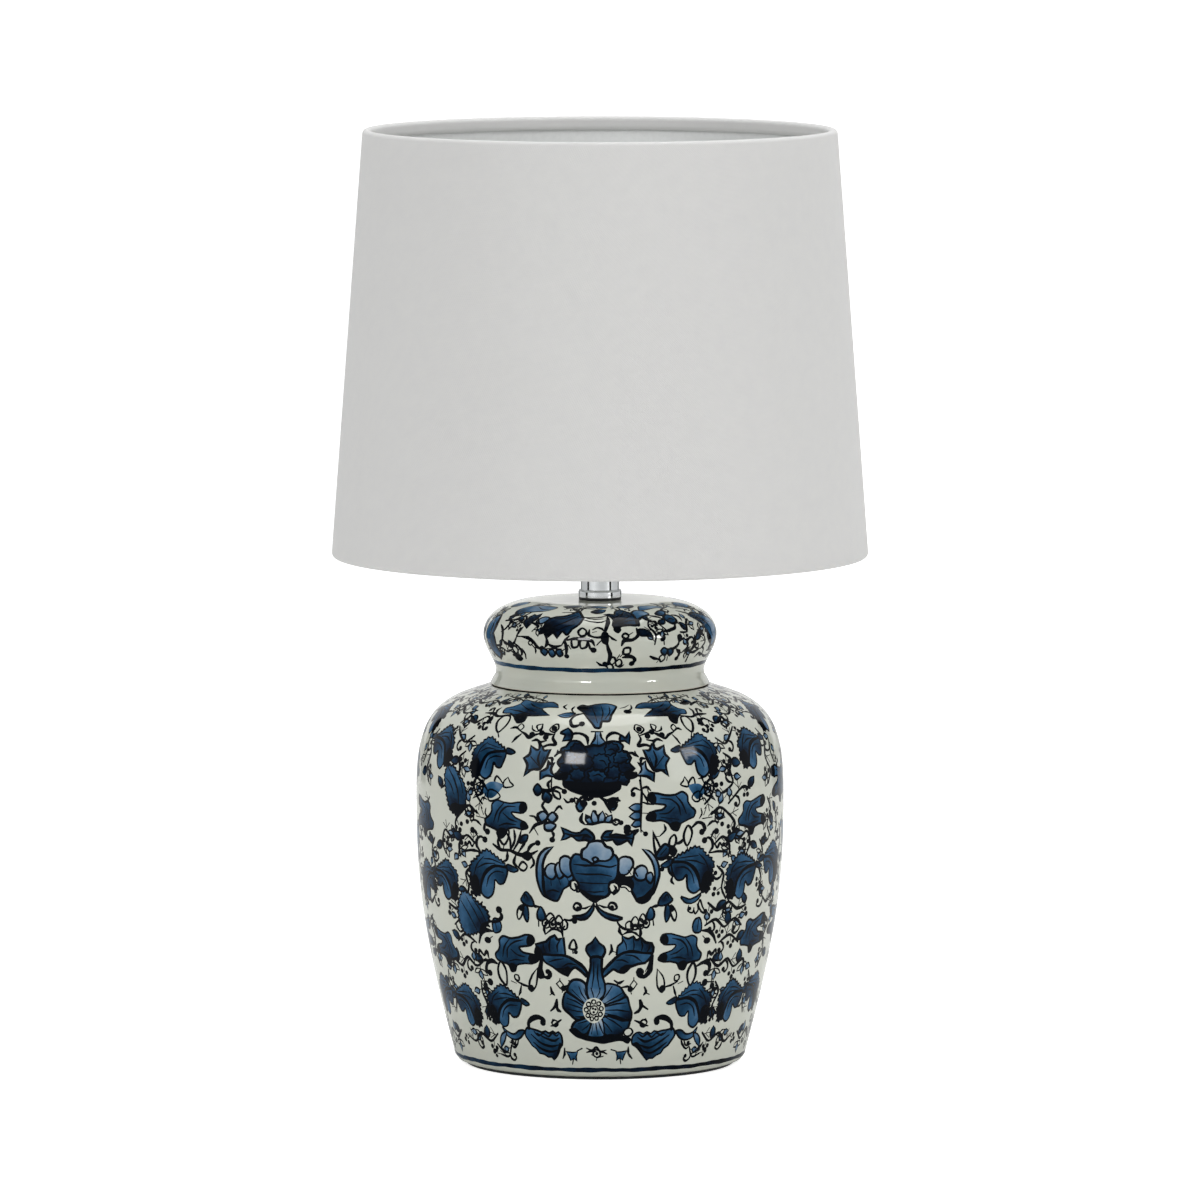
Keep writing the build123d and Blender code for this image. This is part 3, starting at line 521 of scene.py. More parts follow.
motifs = {
    # a serrated leaf that curls over itself, on a short stem
    "curledLeaf": [
        toothLeaf("-11.5,5! -8.5,7.5 -3.5,10.5 .5,12.5 4.5,11 7.5,7.5! 9.5,6.5 12,2.5! 11,0 12.3,-5! 10.5,-7 "
            "10,-10.2! 7.5,-10.5 4.5,-9 4,-4 1.5,1.5 -3.5,4.5", (9, -4), 15, 1, 0.55),
        dab("5,-9.3 8,-10.3 10,-10 10.5,-7 12,-5 11,-2 8,0 6,-2 5.2,-5"),
        leaf("-11.5,4.5 -4.5,4.8 .5,2 3.5,-3 4.5,-9 1,-11.5 -2,-9.5 -3,-6 -3.5,-2 -6,-4.2 -8.5,-4 -10.5,-1",
            (-9, 0), 13, 0.85, 0.45),
        line("2 -11,4.7 -4,4.8 1,2 4,-3.5 4.8,-9/.9 -8,6.5 -2,8 3,8/-4,6 2,5.5 7,3/-9,2 -4,2 0,-1 1.5,-6/3,9 7,5 9,0"),
        leaf("-17.5,4 -14.5,6 -11.5,6.5 -11.5,4.5 -15,3", (-13, 5), 4, 0.9, 0.6, 1),
    ],
    # a broad forked leaf with dark tips
    "forkedLeaf": [
        leaf("-13,7 -12,9.7 -8,10.3 -3,9 2,8.3 6.5,9.2 9.3,7 9.3,3.5 11,.5 13.7,-2.2 13,-5 9,-6.2 5,-7.5 3,-11.2 "
            ".5,-10.7 -1.5,-7.2 -6,-5.8 -11,-5.7 -14.2,-4 -12.7,-1.5 -9,-.3 -5,1 -3.3,3.2 -7,4 -10.5,4.3",
            (2, -9), 19),
        dab("-13,7 -12,9.7 -9.5,10 -8,8 -8.5,4.6 -11,4.3/-14.2,-4 -12.7,-1.5 -9.5,-.8 -8.5,-3 -9.5,-5.5 "
            "-12,-5.6/-1,-7.5 .5,-10.7 3,-11.2 5,-7.5 3,-6"),
        line("1 -6,7.5 0,6 4,2 5,-3/-7,-2 -2,-1 2,2/-6,-4 0,-4 4,-5/2,8 6,3 8,-3"),
    ],
    # a crescent with lobes and one long leaf, under a curled leaf
    "crescentSprig": [
        leaf("-6.5,3.5 -4,0 0,-1.5 4.5,.5 7,5 3,2 -1,1 -4,2.5", (-4, 1), 7, 0.85, 0.4, 1.1),
        line("1.1 -1.5,-2 -2,-5 1,-6.5 2,-4/1.5,-4 3,-7.5 5,-6 4,-2"), dot("1.2 -1,-4"),
        ring("6,.5 8,-3 11.5,-8.5! 7,-6 5,-2"),
    ],
    "openLeafTwig": [
        ring("1.3 -6,9! -6,3 -4.5,-2 -1.5,-4.5 -.5,-1 -2,4"), dot("2.2 -1.5,-2.5"), line("1.8 -1.5,-2 3.5,-1 8,1"),
        ring("6,1.5 6,4.5 8.5,4.5 8.5,2"), line("1.3 8,-.5 12,.5/1.6 5,-1.5 6.5,-5.5 8,-8"),
    ],
    # a long pointed leaf with teeth and a dark tip
    "pointedLeaf": [
        toothLeaf("-8.5,12! -3,12.3 1.5,9.5 6.5,5 9.5,-1 9,-7 5.5,-12.5 1,-14! -3.5,-11 -6.5,-5 -9,2 -10,7",
            (2, -13), 20, 1, 0.48, 1.3), dab("-3.5,-9 -1,-13 1,-14 5,-12.7 8.5,-8 4,-8.5 0,-7.7"),
        line("-7.5,11 -1,5 2.5,-3 3,-9/.9 -8.5,5.5 -4,2 -.5,-4/1,9 5,4 6.5,-2/1.6 -8.3,12 -10.5,14.5 -11.5,18"),
    ],
    # a short broad fan leaf on a stem
    "fanLeaf": [
        toothLeaf("-10,8! -6.5,11.5 -1,10.5 4,7.5 9.5,4 11,-1.5 7,-6 0,-9 -7,-9.5 -10.5,-5 -11.5,2",
            (8, -6), 19, 1, 0.45, 1.4), line("-9,7.5 -4,1 1,-7.5/1 -5,9.5 1,2 5,-5/.9 0,9 5.5,3 8.5,-2"),
        dab("3,-7.7 7,-6 11,-1.5 8,-2.3 4,-5"),
        line("1.7 -10,8 -12.5,11 -13,14.5/2.2 10.5,-1.5 15,-1.7 18.5,1 17.5,4.5"), dot("2 17.3,4.5"),
    ],
    "hook": [line("1.5 0,0 .3,2.6 2.6,4.2 4.7,3 3.9,1.4"), dot("1.25 4,1.6")],
    "bud": [line("1.3 0,0 0,2.4"), leaf("0,2.2 -1.5,3.6 0,6.6! 1.4,3.8", (0, 2), 5, 0.55, 0.1, 1.05)],
    "threeLeaves": [
        line("1.4 0,0 0,2.6"), ring("1 0,2.2 -2.6,2.6 -3.9,4.6! -1.5,4.5"),
        leaf("0,2.8 -1.2,5 .2,7.3! 1.3,5", (0, 3), 4, 0.5, 0.1, 1), ring("1 0,2.2 2.6,2.4 4.1,4.2! 1.6,4.4"),
    ],
    "darkLeaf": [
        line("1.3 0,0 0,1.4"), leaf("0,1 -1.9,2.8 -1.4,4.9 .6,6.8! 1.8,4.2 1.3,2", (0, 2), 6, 0.95, 0.5, 1.1),
    ],
    "berries": [line("1.3 0,0 .2,3.2"), dot("1.15 -1.5,3.3/1.8,3.5/1.3 0,5.4")],
    "spray": [line("0,0 0,5.6/1.15 0,1.4 -2.6,4/0,1.8 2.6,4.4")],
}

# the middle of the panel, drawn whole: fan, peony, bat, bud and open flower
centreMarks = [
    # fan-shaped leaf under the neck and its hooks
    leaf("-16,222.7 -13,225.8 -9,224.8 -3,227 6,228 11.7,224.3 9.5,219.7 7.5,215 6,209.5 1.5,209 0,204.5 -2.7,204.5 "
        "-4.8,207.5 -7.5,211.5 -11.5,217", (-9, 221), 17, 1, 0.5, 1.6),
    dab("-16,222.7 -13,225.8 -9,224.8 -8.5,221 -10.5,219"),
    line("1 -6,224 -3,216 -1.5,208/1,225 2,216 1,210/6,225 6.5,218 3.5,211/2.1 -11.5,216 -16.5,214.7 -19,210 "
        "-17.3,206.3 -11,207.3"), dot("2 -11.3,207.6"),
    leaf("-28,213.5! -23,217 -17,216.5 -20,213.3 -25,212.5", (-18, 215), 5, 0.8, 0.3),
    line(".9 -25,214.5 -20,215/1.6 -18,217 -20,221 -18.5,224"), dot("18.5,217.5", 3, 2.4),
    line("1.6 19,218.5 22.5,221 23.5,226/1.1 14,221.5 18,222.5 22,226/1.7 -24,221 -27,224 -25.5,227"),
    # vase that carries the peony
    fill("-3,201.5 .5,201.5 .8,199 3.5,195 4,190 -7,190 -6,194.5 -3,199", (-6, 192), 9, 0.75, 0.3),
    line("1.9 -5.7,202 2.3,202/1.4 -3,201.5 -3,198.5 -6.3,194/.7,201.5 .9,199 3.7,195/.9 -1.3,200 -1.5,192"),
    # peony: overlapping dark petals over a black cup
    leaf("-9,193.5 -12,196.5 -16.5,196 -18.5,192.5! -21.5,191 -20,187.5! -23,184 -21,181! -23.5,177.5 -20,175.5 "
        "-20,172.5 -4.5,171 11,172.5 14.3,171.7! 15.8,173.5 15.2,176.5! 19.5,180.5! 16.3,183.5 17.5,186.3! 15.5,190! "
        "13,190.7 13.7,193 11,195.5! 7.3,196 3.5,195.5! 0,193.5 -4,194", (-4, 172), 25, 1, 0.72, 1.6),
    toothLeaf("4,194.5 8,194.5 11,192.5 8,189 3,188.5", (10, 190), 8, 1, 0.72, 1, 0.7),
    toothLeaf("10,189.5 15,189 16,186 12,183.5 8,184.5", (14, 184), 7, 1, 0.67, 1, 0.7),
    toothLeaf("11,183 16,183 18.5,180.7 14,178.5 9,179.5", (16, 179), 7, 1, 0.72, 1, 0.7),
    toothLeaf("-14,195 -10,194 -8,190 -12,188.5 -16,191", (-14, 189), 8, 1, 0.77, 1, 0.7),
    toothLeaf("-19,190 -15,189.5 -13,186 -17,184 -20,186.5", (-18, 185), 7, 1, 0.67, 1, 0.7),
    toothLeaf("-21,183 -17,183.5 -15,180 -18,177.5 -21.5,179.5", (-19, 178), 7, 1, 0.77, 1, 0.7),
    toothLeaf("-3,188 2,188.5 5,185 3,181 -2,180.5 -5,184", (-3, 181), 8, 1, 0.77, 1, 0.7),
    toothLeaf("-10,187 -6,188 -4,184 -7,180.5 -12,182 -13,185", (-9, 181), 8, 1, 0.82, 1, 0.7),
    toothLeaf("5,181 9,182 11,178.5 8,175.5 4,176.5", (6, 176), 6, 1, 0.77, 1, 0.7),
    toothLeaf("-16,178 -12,180 -8,178 -9,174.5 -14,174", (-13, 174), 6, 1, 0.77, 1, 0.7),
    toothLeaf("-6,179 -1,180 3,177.5 1,174 -5,174", (-2, 174), 6, 1, 0.72, 1, 0.7),
    toothLeaf("11,177 14.5,176.5 15,173.7 12,172.8 9.5,174.5", (12, 173), 5, 1, 0.72, 1, 0.7),
    line(".9 4,191 7,191.5 9,190/-12,191.5 -9.5,191/-1,185.5 1.5,185 3,182.5/-9,184.5 -7,184/-4,177 -1,178 "
        "1,176.5/12,186.5 14.5,186.5/-18,187 -16,186.5/13,181 16,181"),
    dab("-20,173.3 -10,172.7 0,173.2 11,172.3 11,170.3 7,167 0,164.7 -4.5,164.2 -10,165.7 -16,168.5 "
        "-19.5,171/13.5,179 17,178.3 20.7,178.5 21.3,176 17,174.3 14,175/-17.5,178.5 -21,178.7 -25,178.5 -25.3,175.8 "
        "-21,174.5 -18,175"),
    line("1.9 15,189.3 18,189.3 21.5,187.5/1.6 19.3,190.7 20.3,188.5/1.9 -19,189.3 -22.5,189.3 -25.5,187.5/1.6 "
        "-23.5,190.7 -24.3,188.5"),
    # twigs left and right of the vase
    line("1.9 4,195.8 4.3,198.3 7.5,201 11.5,200.3 13.5,198/-7.5,194.5 -8,198.5 -11.5,201.3 -16,201 -18,199.3"),
    leaf("12.5,200 14.7,198.5 17.3,202.5! 17.5,199 16.8,194.5! 14.5,196.5 12,196", (15, 199), 4, 0.9, 0.6, 1.3),
    leaf("-19.5,204.5! -16.5,201.5 -16.3,197.5 -21.5,195.5! -20.5,199.5 -23,200.3", (-18, 200), 4, 0.9, 0.6, 1.3),
    # sprigs under the peony
    dot("1.5 -2.5,161.2/-2.5,156"), line("2 -7,165 -9.5,162 -10.5,158"),
    leaf("-13,160.3 -11,163 -8.3,161.5 -9,158.5 -11,157.5", (-10, 160), 4, 0.8, 0.3, 1.3),
    line("2 1.5,165 4,160.5 6,156.5"),
    leaf("4.5,162.3 7.3,163.3 8.7,160.5 6.7,158 5,159.5", (7, 160), 4, 0.8, 0.3, 1.3),
    ring("1 -13.5,165 -11.5,163.5 -13,161.7/9,165 7,163.7 9,162.3"),
    line("1.9 -9.5,156.5 -10.5,152.5 -8,150.3/3,156 6,153.5 9,151"), ring("1.2 8.5,153 10.5,151.7 9,149.7 7.3,151"),
    leaf("-5.4,150.3 -7.4,152.4 -7.6,155.5! -5.2,154 -3.9,150.6", (-5, 150), 4, 0.7, 0.2, 1.1),
    leaf("-3.4,150.6 -4.3,153.4 -3.2,157! -1.1,154.2 -1.2,150.8", (-2, 150), 4, 0.7, 0.2, 1.1),
    leaf("-.4,150.8 -.4,154 1.6,157! 2.9,153.8 2.1,150.9", (1, 150), 4, 0.7, 0.2, 1.1),
    leaf("2.9,151.1 3.7,153.8 6.4,155.3! 6.6,152.6 5.2,151", (4, 150), 4, 0.7, 0.2, 1.1),
    line("2 -2.2,165.3 -6,163.2 -9,164.6 -12.5,162.8"), dab("-11,162.5 -8,163.3 -6.3,160.8 -8.7,158.7"),
    line("2 0,165.3 3.5,163.3 6.5,164.6 10.5,163"), dab("8.8,162.8 6,163.5 4.3,161 6.5,158.9"),
    line("1.7 6.5,151.3 9.5,152.7 11.5,151"), dot("1.5 11.3,151"), line("1.6 -8,150.3 -4,150 1,150.7 7,150.8"),
    dot("1.2 -6.5,154"),
    # leafy scroll over the bat
    leaf("-21,147.7! -18.5,146.5 -15,145 -11,145.7 -8,148 -5.5,146.5 -3.5,142.7 -5,140.8 -8,141.7 -12,140.7 "
        "-15.5,142.7 -18.5,141.3 -21,140.7! -19.5,144", (-9, 142), 9, 1, 0.6, 1.3),
    line("1.5 -19,144.3 -14,143.3 -8,145/-10,141.5 -8,144.5 -5,143"),
    leaf("1.2,141.7 3.5,145.3 7.5,146.3! 6,143.5 9,144.5 13,144 16.5,144.7 18.3,147! 18,142 17.2,137.7! 15,141 "
        "12,139.3 9.5,138.3 7,141 4,140.3", (10, 140), 9, 1, 0.6, 1.3),
    line("1.6 2.5,142.5 8,142.5 14,142.7 17.5,142"), dot("2.2 14.3,147.9"),
    line("1.9 14.3,147.5 17.3,145.7 20.7,147.3"),
    # bat: body, head, wings and two crescents
    leaf("-31.5,122 -31.6,117 -31.3,113 -30,109 -27.5,107.3 -24,106.8 -22,110.3 -20,114 -17.5,115.5 -16.5,118 "
        "-14.6,119 -14.8,123 -18.5,123 -24,121.5 -28,122", (-29, 109), 16, 0.95, 0.5, 1.4),
    leaf("-30.3,121 -30.8,123.5 -29.5,126.5 -27,128 -24.5,127.3 -23.5,124.5 -24.3,121 -26,119.3",
        (-27, 119), 9, 0.55, 0.12, 1.3),
    leaf("-24.3,123 -24.5,126.5 -22.5,128.5 -20,126 -19,122 -22,119.5", (-22, 119), 8, 0.55, 0.15, 1.3),
    leaf("-20.7,123.5 -21.7,128 -21,131 -18.5,132.2 -16,131.3 -14.5,128.5 -14.3,123 -17,120.5",
        (-18, 120), 11, 0.55, 0.12, 1.3),
    line(".9 -27.5,119.5 -27,115.5/-22.5,119.5 -21.5,116/-18,121 -17,118/1 -29.5,111.5 -26,113 -22.5,112"),
    leaf("7.3,123.5 9.5,123 11.5,121 17,120 19.5,121.5 26,121.5 29,119.5 30,115 29,110.5 27,107 23,105.3 21,106 "
        "19,109.5 17.5,112 13.5,115.3 10,116.5 7.2,117.5 5.5,120", (11, 119), 19, 1, 0.62, 1.4),
    dab("7.3,123 9.5,123 11.5,121 16.5,119.7 19,116.5 17.5,112.3 13.5,115.3 10,116.5 7.2,117.7 5.5,120/29.8,115.5 "
        "29,110.5 27,107 23,105.3 21,106 20.5,108 24,109.5 27.5,113"),
    leaf("10,124.5 10.3,128.5 11.3,130.7 14.5,131.8 17.6,130.5 18.2,127.3 17,124.5 13.8,121.3 11,122",
        (14, 120), 11, 0.55, 0.1, 1.3),
    leaf("18.7,120.7 18.9,124 20.5,126 23,126.8 25.6,125.3 26.2,122 24.7,118.7 21,118.5",
        (22, 118), 8, 0.6, 0.15, 1.3), leaf("25.7,119 26,122 28,122.7 29,120 27.8,116.5", (27, 117), 5, 0.6, 0.25),
    line("1.3 15.5,124 17,121.5/18.2,126.5 19,123.5 21,120.5"),
    leaf("-15,130.5 -15.5,125 -14.6,121.5 -12.8,118 -11.6,115 -8.6,111 -4.7,107.5 -2.2,106.2 -.7,107.3 4.3,110.3 "
        "5.2,112 4.8,115 5.2,118 7.7,119 9.4,121 10,125 9.9,130 8.3,132.3 4,132 -9,132 -13.5,132.7",
        (-10, 111), 24, 0.95, 0.5, 1.5),
    line("1.3 -14,127.5 -8,126.5 -1,127.7 6,126.5 9,127/1 -13,122.5 -7,121.5 0,122.5 6,121.5/-10.5,117.5 -5,116.5 "
        "1,117 4.5,117.5/.9 -7,112.5 -3,111.5 2,112.3"),
    dab("-10.5,114 -8.6,111 -4.7,107.5 -2.2,106.2 -.7,107.3 3,109.8 -1,109.8 -5,110.5 -8,113"),
    leaf("-7.8,137.5 -6.8,140 -2.2,141.2 1.8,140 3.3,137.6 6.2,136 6.9,132.7 5.2,130.6 2.3,130 -.7,130.3 -4.6,128.3 "
        "-7.6,129.7 -9.7,130.3 -10.3,133 -9.7,135.7", (-3, 128), 13, 0.42, 0.05, 1.5),
    ring("1.4 -4.3,131 -2.7,132.4 -1.1,131 -2.7,129.4"),
    leaf("-25,137.2! -29.4,136 -33,133 -34.8,127 -35,121 -34.2,115 -31.6,109.3 -29,107! -31.3,111.5 -32,116 "
        "-31.8,121.5 -31.6,127 -29.4,132.7", (-33, 111), 22, 0.75, 0.2, 1.4),
    leaf("22.4,136.3! 26,135.2 29.7,132 31.7,127 32.2,122 31.2,116 29.7,111 27.2,107! 29.1,113 29.9,119 29.5,125 "
        "28,129.7 25,133.3", (30, 111), 22, 0.75, 0.2, 1.4),
    bare("-16.3,116 -15.5,118.3 -13.3,118.8 -11.3,117 -11.6,114.3 -13.7,113.2 -15.8,114.3"),
    ring("1.3 -16.3,116 -15.5,118.3 -13.3,118.8 -11.3,117 -11.6,114.3 -13.7,113.2 -15.8,114.3"),
    dab("-14,117.5 -12.5,117 -12,115 -13,113.8 -13.5,115.5"), line("1.6 -13,113.3 -11,112.5 -10,113.3"),
    bare("4.6,115.5 5.4,117.7 7.6,118.3 9.8,116.7 9.9,114 8,112 5.7,112.7"),
    ring("1.3 4.6,115.5 5.4,117.7 7.6,118.3 9.8,116.7 9.9,114 8,112 5.7,112.7"),
    dab("7,117 9,115.5 9,112.5 7,110.7 6.3,112.5 7.8,114.5"),
    bare("11,116 13,116.2 17.3,112.8 16.5,112 12.8,114.9 11,115"),
    ring(".9 11,116 13,116.2 17.3,112.8 16.5,112 12.8,114.9 11,115"),
    # crossing leaves under the bat
    leaf("-2.7,106 -5,103 -8,100.3 -11,99 -15.3,98.3 -12,96.5 -8,97 -5,99.5 -3,102.5", (-10, 98), 9, 0.95, 0.5, 1.4),
    leaf("-2,106 0,102.7 3,100 7,98.5 12.3,97.3 9,95.5 5,96 1.5,98.7 -1,102.5", (6, 97), 9, 0.95, 0.5, 1.4),
    ring("1.5 -14.5,104 -13,106 -10.8,105.3 -10.7,102.7 -12.7,101.7"), line("1.5 -10.8,103 -8,103.3 -5,104.5"),
    dot("1.3 -12,103"), ring("1.5 4.7,104 5.7,106 8,105.5 8.7,103.2 6.8,101.7"), line("1.5 5,103 2.5,103 0,104.3"),
    dot("1.3 6.3,103.3"), line("1.5 -14,98 -16.5,96 -20,96.5"), dot("1.6 -14.5,95.5"),
    line("1.5 9,96.5 11,93 14,91 17.5,91.5"),
    # serrated leaves on both sides of the bud
    leaf("9.5,76.5! 10.5,81 12.7,83 12.5,86.7! 15.5,85.3 18.5,87.2! 20.5,85 23,86.3! 25.5,83.5 29,82.5! 30.4,80 "
        "29.7,76.5 24,77.5 17,77 12.5,75.5", (27, 84), 15, 0.95, 0.5, 1.5),
    leaf("1.2,66.3 5,71 9.5,75 12.5,76.3 17,77.3 24,77.5 29.7,76.5 28,73.5 26,71.5! 22,70.3 18,68.5! 14,66 10.5,67 "
        "7.5,68.3 3.7,65 1,63", (14, 66), 14, 0.95, 0.5, 1.5),
    line("1.8 1,66.5 5,71.5 9.5,75.3 12.5,76.5 17,77.5 24,77.6 30,76.3"),
    dab("11,67 14,65.8 18,68.5 20,69.3 16,70 12.5,69"),
    line("1 13,85 15,81 15.5,78.5/18.5,86 19.5,82 19.5,78.8/23,85 24,81.5 23.5,78.8/28,82 27.5,79.5 26.5,78/9,73.5 "
        "13,73 17,71/15,75.5 20,75 24,72"), line("30,76 29.7,71 29,66 26.5,63 23.2,64 22.7,66.5 24.3,67", 3.2, 0.7),
    dot("2 24.3,65.7"),
    line(".9 28.7,73.5 28,69 26.8,66/1.8 11,92 11.4,88.7 12.7,86.7/22,93 22.7,88 22,85.3/1.4 12.7,87.3 15,89.3 "
        "19,89.3 22,87"),
    leaf("-20,75.5 -20,80 -20.3,85.5! -23.5,84.7 -25,87! -28,86.3 -31,84! -34,82.7 -37.7,81! -36.7,77 -33,75 -27,76",
        (-34, 78), 16, 0.95, 0.5, 1.5),
    leaf("-34.5,75 -33,71.5 -28,69! -23,66 -18.5,64.3! -16.5,67 -14.5,68.5 -10.5,66 -7,63 -8,66.5 -13,71.5 -19,75 "
        "-27,76.2", (-19, 65), 16, 0.95, 0.5, 1.5), line("1.8 -6.7,65.5 -9,68.5 -13,72 -19,75.3 -27,76.3 -35,75"),
    dab("-16,68 -18.5,64.3 -23,66 -26,68.3 -21,69 -18,69.5"),
    line("1 -22,84.5 -24,81 -24,78/-28,85.3 -29,81 -28.5,78/-33,82.3 -33,79.5 -32,77.5/-21,74 -26,73.5 "
        "-30,71.5/-13,70 -18,71 -22,69.5"),
    dab("-37,80.5 -39,76 -36.3,72.3 -37.5,66 -36,61.5 -33,61.8 -34,67 -33.3,73 -34,77"),
    line("2.4 -34,62.5 -31,62 -29.7,64.5 -31.5,66.5"), dot("1.7 -31,65.3"),
    line("1.8 -31,88 -31.3,92 -29,94/-20.5,85.5 -21,90 -19.5,92.5/1.4 -30.7,88.3 -27,90.3 -23.5,90 -20.7,88"),
    ring("1.4 -17.3,79.5 -16.8,82.5 -15.2,84.8 -13.7,82.3 -13.3,79.5"), line("1.8 -15.5,79 -15,76.5"),
    dot("1.3 -13.5,77.5"), line("2 5.3,76.7 7,79 6.8,82.3/1.4 7,78.7 9.3,77.7"),
    # open flower: petals, white beads round three dots, black cup
    leaf("-19,58.5 -16,61.7 -11,61.2 -8,59 -7,53 -6.3,50 -10,47 -15,49 -20,53", (-21, 54), 14, 0.85, 0.25, 1.5),
    leaf("-20.5,54.5 -22.9,49 -22.7,44 -19.5,41 -14.5,37.7 -9.5,40.5 -8,46 -12,50 -16.5,52.5",
        (-21, 43), 14, 0.95, 0.4, 1.5),
    leaf("-17.7,32.5 -15.5,36.5 -12,38.5 -8,39.7 -4.7,38.7 -5.7,35 -9,29.5 -14,28.5", (-14, 30), 13, 0.9, 0.3, 1.5),
    leaf("2.7,59 7.7,59.2 12,57.7 14.3,53.7 16.5,51 12.5,48 5.5,46.5 1,48.5 2.3,53", (15, 52), 13, 0.9, 0.3, 1.5),
    leaf("15.5,52 18,47 19.5,42 18.3,37 14,36.3 4.5,39.3 1.5,43 4,46.5 11,49.5", (18, 38), 17, 0.98, 0.35, 1.5),
    leaf("18,37.5 17.5,33 15,29.8 9.5,28.5 4,29 1,34.5 1,38.5 4.5,40.3 9,39 14,37.3", (14, 29), 16, 1, 0.4, 1.5),
    leaf("-6,35 -4,39.3 1,39.3 2.7,34 2,28 -8,28", (-3, 28), 11, 0.8, 0),
    line("1 -9,56.5 -8,52.5/1.1 -12.5,58 -10.5,53.5 -8,50/-17,56.5 -13,52.5 -9,48.5/-20.5,50.5 -15,49.5 -9.5,46.3/1 "
        "-21,47 -14.5,46.3 -9,44.7/-20,43.5 -14,43.3 -9,43/1.1 -15.5,39.5 -12,40 -8,41/1 -14,35.5 -10,37.3 "
        "-6.5,38.7/-12,31.5 -8.5,34.5 -6,37/-5.5,30 -4.7,34 -3.8,37/-1.5,29.5 -2,34 -2.3,37.5/2,30 .5,34 "
        "-.5,37.5/8,31 4.5,35 1,38.7/1.1 14,33 8.5,37 2.3,40.5/17.5,37.5 10,40 3,42/1 18.5,43 11,43.5 3,43.7/1.1 "
        "16,48.5 9.5,47.3 3,45.5/13,54.5 8,50.5 2,47/1 7,58 4.5,53.5 1,49"),
    dab("-19.5,32 -16.5,28 -10,25.3 -4,25 2,24 8,24.7 14,25.2 18.5,23.3 20,26 16.5,28 12,29.3 6,29.7 0,28.7 -6,28.7 "
        "-12,29.7 -16,32.7"), bare("15,30.5 16.5,32.3 19,32.5 20.3,30.5 18.7,28 16.3,28"),
    ring("1.2 15,30.5 16.5,32.3 19,32.5 20.3,30.5 18.7,28 16.3,28"),
    # bud on its column, over the flower
    leaf("-2.8,86.8! -.8,83.5 2.5,81.3 3.2,78.7 2.2,76.5 .8,74.5 -5.8,74.5 -7.2,76.5 -8.2,78.7 -7.7,81.3 -4.9,83.5",
        (-5, 81), 9, 0.95, 0.55, 1.5),
    leaf("-5.8,74.5 .8,74.5 .8,70 1,64 2.5,58.5 2.5,53 0,50 -6.3,50.5 -7.5,57 -6.3,64 -5.7,70",
        (-5, 72), 18, 0.85, 0.35, 1.5),
    line("1.4 -6.2,75 1.2,75/.9 -4,72 -3.5,64 -4.5,56/-1.3,71 -1.5,63 -.5,56/-5,57 -4,53.5 -3.5,51/0,57 -.5,54 -2,51"),
    bare("-3.5,51 0,50 2.8,47 3.6,43.7 2.8,40.4 0,37.4 -3.5,36.4 -7,37.4 -9.8,40.4 -10.6,43.7 -9.8,47 "
        "-7,50/-6.5,43.7 -5,46.3 -2,46.3 -.5,43.7 -2,41 -5,41"),
    # three-pointed sprig under the flower
    line("1.4 -9,20.7 -5.5,19.7 -3,22 -.5,19.7 4.3,20.3"), ring("1.2 -5,17 -4,20 -1.3,20 -.3,17 -2.7,15.5"),
    dot("1.1 -2.7,18"), line("1.3 -2.5,16 -3,13.5"),
]
stamens = {"count": 9, "middle": (-3.5, 43.7), "reach": 4.9, "radius": 1.25, "firstAngle": 0.2}
for k in range(stamens["count"]):
    a = turn * k / stamens["count"] + stamens["firstAngle"]
    x, y = (c + stamens["reach"] * way for c, way in zip(stamens["middle"], (math.cos(a), math.sin(a))))
    corners = [(x + stamens["radius"] * math.cos(b * turn / 6), y + stamens["radius"] * math.sin(b * turn / 6))
               for b in range(6)]
    centreMarks.append(ring(" ".join("%g,%g" % c for c in corners), 0.9))
centreMarks += [
    ring(".8 -6.3,43.7 -4.9,46.1 -2.1,46.1 -.7,43.7 -2.1,41.3 -4.9,41.3"), dot(".8 -4.2,44.8/-2.5,44.3/-3.7,42.7"),
]

